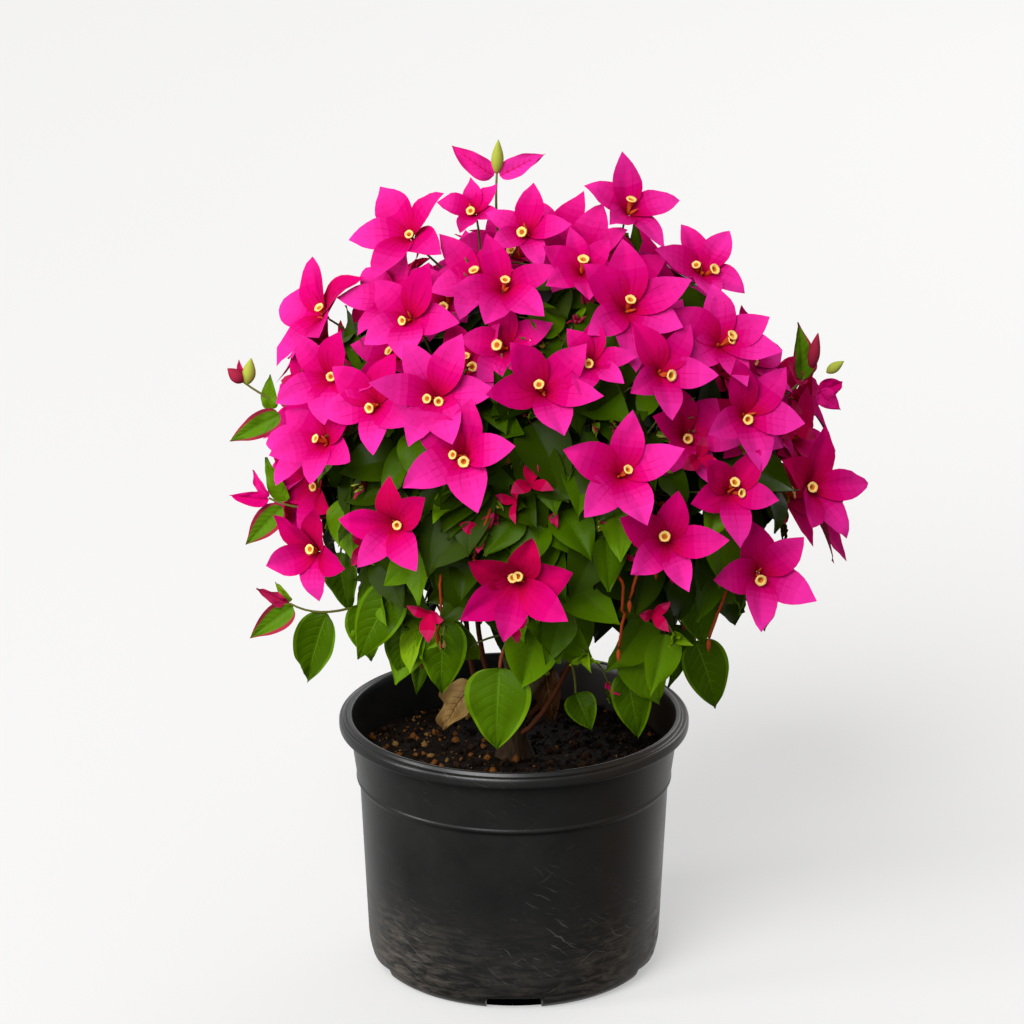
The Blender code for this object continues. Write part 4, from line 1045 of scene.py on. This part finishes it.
def veinGrids(steps, width):
    # thin strips on a leaf, as (t, s) grids: the midrib, then pairs of side veins that curve forward
    run = np.linspace(0, 1, steps)[:, None]
    edge = np.array((-1.0, 1.0))[None, :]
    yield run * 0.95 + 0 * edge, edge * (0.045 - 0.03 * run)
    for start in leaves["veinStarts"]:
        for side in (-1, 1):
            t = start + leaves["veinRise"] * run ** 1.4 + edge * width * (1 - 0.7 * run) * -side
            yield t, side * run * 0.86 + 0 * edge


def leafPieces(base, heading, face, length, tone, fine):
    # the crown's leaves are coarse grids with a pale midrib; the front and hanging ones are finer and carry veins
    half = length * pickOf(leaves["halfWidth"], len(length))
    body = (base, heading, face, length, half, *(pickOf(leaves[each], len(length)) for each in ("fold", "arch")))
    tones = ["leaf" + each for each in ("Shade", "Deep", "Mid", "Bright", "Fresh", "Rib", "Vein")]
    points = leafShapes(*body, leaves["rows"], leaves["sides"])
    marks = np.repeat(tone[:, None, None], len(leaves["sides"]) - 1, 2)
    marks[tone > 2, :, len(leaves["sides"]) // 2 - 1] = 5
    for letter, chosen in zip("AB", np.array_split(np.flatnonzero(~fine), 2)):
        makePiece("leaves" + letter, sheets(points[chosen], marks[chosen]), tones, massNodes)
    body, tone = [each[fine] for each in body], tone[fine][:, None, None]
    parts = [sheets(leafShapes(*body, leaves["skirtRows"], leaves["skirtSides"]), tone)]
    ribs = np.array((0, 1, 6, 5, 5))[tone]
    parts += [sheets(leafShapes(*body, t, s, 0.00010), ribs) for t, s in veinGrids(5, 0.008)]
    makePiece("leavesFine", joined(parts), tones, massNodes)


base, heading, face, length, tone, spots, fine = chooseLeaves()
leafPieces(base, heading, face, length, tone, fine)


def twigPiece():
    # stems, twigs, side twigs, flower stalks and leaf stalks, each kind one set of fine tubes
    paths = np.stack(massStems)
    parts = [tubes(paths, np.linspace(*crown["stemRadii"], paths.shape[1]), 7)]
    for (paths, *_), scale in ((mainTwigs, 1.0), (sideTwigs, 0.75)):
        parts.append(tubes(paths, np.linspace(*leaves["twigRadii"], paths.shape[1]) * scale, 5, 1, 1))
    hubs = inCrown(np.stack([axisOf(name) for name in bloomOwners]), crown["hubReach"])
    stalks = bend(hubs, unit(bloomSpots - hubs), bloomSpots, bloomNormals, 10)
    parts.append(tubes(stalks, np.linspace(*blooms["twigRadii"], 11), 5, 1, 1))
    petioles = np.stack([spots, mix(spots, base, 0.5) - (0, 0, 0.0006), base + unit(heading) * 0.001], 1)
    parts.append(tubes(petioles, leaves["petioleRadii"], 3))
    makePiece("twigs", joined(parts), ["twigRed", "twigOlive"], massNodes)


twigPiece()


# the five shoots that stand out of the crown, in millimetres: the depth of the shoot, its stem's ends, and
# its young leaves and buds, each from its foot to its tip (x, z) with its width
shoots = {
    "top": {"depth": 0, "leave": (-14, 500), "stem": (-11, 541), "items": (
        ("budGreen", (-11, 541), (-10, 564), 8), ("bract18", (-13, 540), (-41, 558), 15),
        ("bract23", (-9, 540), (19, 555), 14))},
    "highLeft": {"depth": -28, "leave": (-122, 386), "stem": (-173, 411), "items": (
        ("budRed", (-173, 411), (-183, 421), 9), ("budGreen", (-171, 409), (-168, 427), 9),
        ("leafBright", (-156, 393), (-158, 415), 13), ("leafEdged", (-150, 389), (-184, 372), 17),
        ("bractYoung", (-173, 411), (-177, 425), 6))},
    "midLeft": {"depth": -27, "leave": (-118, 322), "stem": (-158, 332), "items": (
        ("leafBright", (-147, 330), (-162, 357), 14), ("bract17", (-158, 333), (-171, 348), 8),
        ("bract15", (-158, 331), (-184, 332), 10), ("leafEdged", (-149, 326), (-175, 298), 18))},
    "lowLeft": {"depth": -31, "leave": (-100, 246), "stem": (-145, 261), "items": (
        ("bractYoung", (-147, 262), (-166, 272), 9), ("leafFresh", (-145, 262), (-155, 274), 7),
        ("leafEdged", (-143, 259), (-172, 238), 18), ("leafMid", (-121, 254), (-141, 200), 29))},
    "highRight": {"depth": -24, "leave": (150, 382), "stem": (190, 417), "items": (
        ("leafEdged", (185, 412), (183, 449), 17), ("budRed", (190, 418), (194, 444), 8),
        ("budGreen", (200, 416), (211, 424), 7), ("bract15", (196, 404), (212, 408), 14),
        ("bract17", (195, 403), (210, 392), 13), ("bractYoung", (186, 408), (176, 424), 8))},
}
# the large old leaves that hang below the crown at the front: foot, tip (millimetres) and width
hangingLeaves = {
    "leafLush": (((-9, -98, 242), (-13, -112, 187), 43),),
    "leafBright": (((73, -70, 247), (98, -84, 208), 30), ((31, -88, 284), (42, -97, 234), 34)),
    "leafMid": (
        ((-44, -84, 270), (-50, -94, 218), 33),
        ((-112, -30, 296), (-112, -42, 254), 23), ((-75, -78, 290), (-106, -90, 242), 31),
        ((-72, -60, 256), (-76, -72, 224), 20), ((72, -66, 227), (84, -80, 182), 27),
        ((117, -52, 243), (138, -64, 196), 31), ((114, -76, 290), (125, -88, 252), 29),
        ((160, -34, 268), (166, -44, 246), 17), ((40, -45, 204), (50, -58, 184), 21),
        ((-58, -44, 232), (-66, -54, 206), 12), ((-97, -42, 264), (-98, -52, 224), 27)),
}
# dead leaves: some on the soil and some caught between the stems
driedLeaves = {
    "leafDried": (((-26, 28, 182), (-56, 22, 152), 24), ((44, -66, 148), (66, -58, 152), 15)),
    "leafBrown": (((20, -8, 212), (26, -14, 162), 17), ((-52, -44, 147), (-72, -30, 150), 12)),
}
fineRows = np.linspace(0, 1, 37)
fineSides = np.linspace(-1, 1, 15)
# the edge of a fine leaf: from this share of its half width it has another tone; and the tone of its veins
leafRims = {"leafEdged": (0.72, "budRed"), "leafMid": (0.88, "leafBright"), "leafLush": (0.80, "leafRim")}
leafRibs = {"leafDried": "leafBrown", "leafBrown": "leafDried"}
shootStem = {"radii": (0.00115, 0.0007), "russet": 1.5, "steps": 16, "sides": 8, "sway": (-5, 5), "inward": 0.35}


def singlePiece(name, table, fold, arch, nod, waves=1.0):
    # fine leaves set one by one from rows of foot, tip and width; they face out of the crown
    tones = list(table)
    rows = [(*item, tones.index(tone)) for tone in tones for item in table[tone]]
    foot, tip, width = (np.array([row[index] for row in rows], float) / 1000 for index in range(3))
    own = np.array([row[3] for row in rows])
    out = unit((mix(foot, tip, 0.5) - crown["centre"]) * (1, 1, 0.15)) * 0.45 + (0, -0.9, nod)
    body = (foot, tip - foot, out, np.linalg.norm(tip - foot, axis=1) * 1.02, width / 2,
            pickOf(fold, len(rows)), pickOf(arch, len(rows)))
    rims = {tone: leafRims[tone] for tone in tones if tone in leafRims}
    ribs = ["bract9" if tone.startswith("bract") else leafRibs.get(tone, "leafRib") for tone in tones]
    names = list(dict.fromkeys([*tones, *ribs, *(rim for _, rim in rims.values())]))
    marks = np.repeat(own[:, None], len(fineSides) - 1, 1)
    side = np.abs(fineSides[:-1] + fineSides[1:]) / 2
    for tone, (limit, rim) in rims.items():
        marks[(own == tones.index(tone))[:, None] & (side > limit)] = names.index(rim)
    veins = np.array([names.index(rib) for rib in ribs])[own][:, None, None]
    parts = [sheets(leafShapes(*body, fineRows, fineSides, 0.0, leaves["quilt"], waves), marks[:, None])]
    parts += [sheets(leafShapes(*body, t, s, 0.00012, leaves["quilt"], waves), veins) for t, s in veinGrids(9, 0.006)]
    makePiece(name, joined(parts), names)
    return foot


feet = singlePiece("hangingLeaves", hangingLeaves, (0.10, 0.26), (0.5, 0.9), 0.3)
singlePiece("driedLeaves", driedLeaves, (0.5, 0.9), (0.8, 1.5), 0.6, 3.5)


def shootPiece():
    # each shoot's stem bends up from inside the crown; its young growth is folded leaves and closed buds
    table, stalks, buds = {}, [], []
    for shoot in shoots.values():
        depth = shoot["depth"]
        lead, end = (np.array([x, depth, z]) / 1000 for x, z in (shoot["leave"], shoot["stem"]))
        hub = mix(lead, crown["centre"], shootStem["inward"])
        stalks.append(bend(hub, lead - hub, end, unit(end - lead) + (0, 0, 0.3), shootStem["steps"]))
        for tone, (footX, footZ), (tipX, tipZ), width in shoot["items"]:
            item = ((footX, depth, footZ), (tipX, depth + dice.uniform(*shootStem["sway"]), tipZ), width)
            if tone.startswith("bud"):
                buds.append((*item, 2 if tone == "budRed" else 1))
            else:
                table.setdefault(tone, []).append(item)
    singlePiece("shootGrowth", table, (0.15, 0.5), (0.2, 0.7), 0.1)
    foot, tip, width = (np.array([bud[index] for bud in buds], float) / 1000 for index in range(3))
    tones = np.array([bud[3] for bud in buds])[:, None, None]
    closed = spindles(foot, tip - foot, np.linalg.norm(tip - foot, axis=1), width / 2, 10, tones, 1)
    for foot in feet:
        hub = min((stem[-1] for stem in massStems), key=lambda end: np.linalg.norm(end - foot))
        stalks.append(bend(hub, foot - hub + (0, 0, 0.02), foot, (0, -0.3, -1), shootStem["steps"]))
    # the first hanging leaf has a stouter, russet stalk
    russet = (np.arange(len(stalks)) == len(shoots))[:, None]
    widths = np.linspace(*shootStem["radii"], shootStem["steps"] + 1) * np.where(russet, shootStem["russet"], 1.0)
    stems = tubes(np.stack(stalks), widths, shootStem["sides"], np.where(russet, 3, 0)[:, None])
    makePiece("shootStems", joined([stems, closed]),
              ["stemGreen", "budGreen", "budRed", "stalkBrown"])


shootPiece()


# the young leaves and buds at the twigs' tips: sizes in metres, and the share of each tone
young = {
    "leafLengths": (0.008, 0.017), "leafShares": (0.40, 0.08, 0.27, 0.25), "leafSpread": (8, 55), "halfWidth": 0.22,
    "fold": (0.4, 0.9), "arch": (0.1, 0.6), "budded": 0.45, "budSpread": (5, 40),
    "budLengths": (0.005, 0.010), "budWidths": (0.0009, 0.0016), "budShares": (0.48, 0.30, 0.22),
}


def tipGrowth():
    # at the twigs' tips: young leaves in threes, and little clusters of closed flower buds
    paths, ways = mainTwigs[:2]
    tips, run = paths[:, -1], unit(paths[:, -1] - paths[:, -2])
    clear = clearOfBlooms(tips, bloomSpots, bloomNormals, bloomSizes) & clearOfPot(tips)
    tips, run, ways = tips[clear], run[clear], ways[clear]
    leaf = np.repeat(np.arange(len(tips)), 3)
    count = len(leaf)
    heading = unit(around(run[leaf], pickOf(young["leafSpread"], count), pickOf(wholeTurn, count)))
    length = pickOf(young["leafLengths"], count)
    points = leafShapes(tips[leaf], heading, ways[leaf] + (0, 0, 0.4), length, length * young["halfWidth"],
                        pickOf(young["fold"], count), pickOf(young["arch"], count), leaves["rows"], leaves["sides"])
    tone = dice.choice(4, count, p=young["leafShares"])[:, None, None]
    bud = np.flatnonzero(dice.uniform(0, 1, len(tips)) < young["budded"]).repeat(4)
    way = unit(around(run[bud], pickOf(young["budSpread"], len(bud)), pickOf(wholeTurn, len(bud))))
    sizes = pickOf(young["budLengths"], len(bud)), pickOf(young["budWidths"], len(bud))
    mark = dice.choice((4, 5, 6), len(bud), p=young["budShares"])[:, None, None]
    growth = joined([sheets(points, tone), spindles(tips[bud] + way * 0.002, way, *sizes, 5, mark, 4)])
    tones = ("leafFresh", "leafBronze", "bractYoung", "leafBright", "budGreen", "budRed", "tubeCream")
    makePiece("youngTips", growth, tones)


tipGrowth()


# small crimson young bracts in threes among the leaves: azimuth, elevation and reach, and their size in mm
youngBracts = (
    (-6, 9, 0.90, 17), (-9, 5, 0.88, 13), (-18, -3, 0.90, 14), (-31, -24, 0.97, 16), (24, -24, 0.95, 12),
    (16, -8, 0.90, 11), (36, 12, 0.90, 15), (-50, -12, 0.93, 14), (70, 10, 0.95, 15), (-10, -27, 0.94, 10),
    (120, -8, 0.95, 15), (150, 5, 0.95, 16), (-170, 0, 0.95, 15), (-130, 8, 0.95, 16), (-95, 12, 0.97, 15))
# thin rust-red stalks of spent blooms that hang in the gaps: from one heading to another
spentStalks = (
    ((22, 4, 0.90), (18, -20, 0.93)), ((26, 2, 0.86), (24, -12, 0.92)), ((-30, -16, 0.90), (-31, -30, 0.97)),
    ((14, -14, 0.92), (17, -34, 0.96)), ((-16, 2, 0.88), (-19, -9, 0.92)), ((48, -22, 0.92), (46, -36, 0.98)),
    ((-150, -10, 0.90), (-148, -28, 0.95)), ((130, -6, 0.90), (132, -26, 0.95)))


def gapGrowth():
    # the young bracts are small stars of three; the stalks bend from their first heading down to the second
    rows = np.array(youngBracts, float)
    ways = direction(rows[:, 0], rows[:, 1])
    count = len(rows)
    normals = unit(facing(ways) + dice.normal(0, 0.3, ways.shape))
    turns = pickOf(wholeTurn, count)
    plan = starPlan(inCrown(ways, rows[:, 2]), normals, rows[:, 3] / 1000, turns, np.full(count, 3))
    marks = np.where(np.arange(len(bracts["rows"]) - 1) > 7, 0, 1)[:, None]
    stars = sheets(starSurface(plan, bracts["rows"], bracts["sides"]), marks)
    ends = np.array(spentStalks, float)
    start, end = (inCrown(direction(ends[:, index, 0], ends[:, index, 1]), ends[:, index, 2]) for index in (0, 1))
    paths = bend(start, (0.2, -0.6, 0.5) + 0 * start, end, (-0.3, 0.2, -1.0) + 0 * end, 14)
    paths += noise(paths, 160, 3)[..., None] * 0.0016
    count = len(end)
    tips = spindles(end, (0, -0.2, -1.0) + 0 * end, np.full(count, 0.009), np.full(count, 0.0016), 7, 2, 2)
    makePiece("youngBracts", joined([stars, tubes(paths, 0.0010, 6, 2, 2), tips]),
              ["bractYoung", "bract6", "stalkRust"])


gapGrowth()


studio = {
    "floor": (0.40, 0.398, 0.396), "floorGlow": 0.405, "floorSize": 16, "zenith": 0.46, "nadir": 0.03, "behind": 0.55,
    "sun": (-0.46, -0.96, 1.13), "sunStrength": 3.0, "sunAngle": 36,
    "strip": (-2.3, -0.75, 0.9), "stripSize": (0.6, 1.8), "stripPower": 30,
    "front": (-0.9, -2.6, 0.45), "frontSize": (1.6, 0.9), "frontPower": 9,
    "back": (1.7, 2.3, 1.6), "backSize": (1.8, 1.0), "backPower": 16, "target": (0.0, 0.0, 0.25),
    "lens": 211, "distance": 3.9, "aim": (-0.0013, 0, 0.3129), "elevation": 19.5,
}


def aimed(name, data, place, target):
    # a lamp or camera at its place, turned to look at the target
    thing = addObject(name, data)
    thing.location = place
    thing.rotation_euler = (Vector(target) - thing.location).to_track_quat("-Z", "Y").to_euler()
    return thing



def buildStudio():
    # a pale floor that fills the view, and a surround that is brighter overhead and behind
    half = studio["floorSize"] / 2
    mesh = bpy.data.meshes.new("floor")
    mesh.from_pydata([(-half, -half, 0), (half, -half, 0), (half, half, 0), (-half, half, 0)], [], [(0, 1, 2, 3)])
    floor = addObject("floor", mesh)
    shader = plainFinish("floorWhite", studio["floor"], 0.9, 0.0).nodes["Principled BSDF"]
    shader.inputs["Emission Color"].default_value = (1, 0.995, 0.99, 1)
    shader.inputs["Emission Strength"].default_value = studio["floorGlow"]
    mesh.materials.append(bpy.data.materials["floorWhite"])
    floor.visible_diffuse = floor.visible_glossy = False  # it takes shadows but throws no light back up
    world = bpy.data.worlds.new("surround")
    bpy.context.scene.world = world
    world.use_nodes = True
    tree = world.node_tree
    place = addNode(tree, "ShaderNodeTexCoord").outputs["Generated"]
    axes = addNode(tree, "ShaderNodeSeparateXYZ", {0: place}).outputs
    glow = maths(tree, "ADD", remap(tree, axes[2], -1, 1, studio["nadir"], studio["zenith"]),
                 remap(tree, axes[1], 0, 1, 0, studio["behind"]))
    tree.nodes["Background"].inputs["Color"].default_value = (1.0, 0.995, 0.985, 1)
    tree.links.new(glow, tree.nodes["Background"].inputs["Strength"])
    # a broad soft sun from the upper left front, a tall strip at the left for the sheen on the pot, a low panel
    # that opens the shade in front, and one behind
    sun = bpy.data.lights.new("sun", "SUN")
    sun.energy, sun.angle = studio["sunStrength"], np.radians(studio["sunAngle"])
    lights = [sun]
    for name in ("strip", "front", "back"):
        panel = bpy.data.lights.new(name, "AREA")
        panel.shape = "RECTANGLE"
        panel.size, panel.size_y = studio[name + "Size"]
        panel.energy = studio[name + "Power"]
        lights.append(panel)
    for light in lights:
        aimed(light.name, light, studio[light.name], studio["target"]).visible_camera = False
    lens = bpy.data.cameras.new("camera")
    lens.lens, lens.sensor_width = studio["lens"], 36
    rise = np.radians(studio["elevation"])
    back = Vector((0, -np.cos(rise), np.sin(rise))) * studio["distance"]
    bpy.context.scene.camera = aimed("camera", lens, Vector(studio["aim"]) + back, studio["aim"])
    bpy.context.scene.view_settings.view_transform = "Standard"
    print("studio ready")


buildStudio()
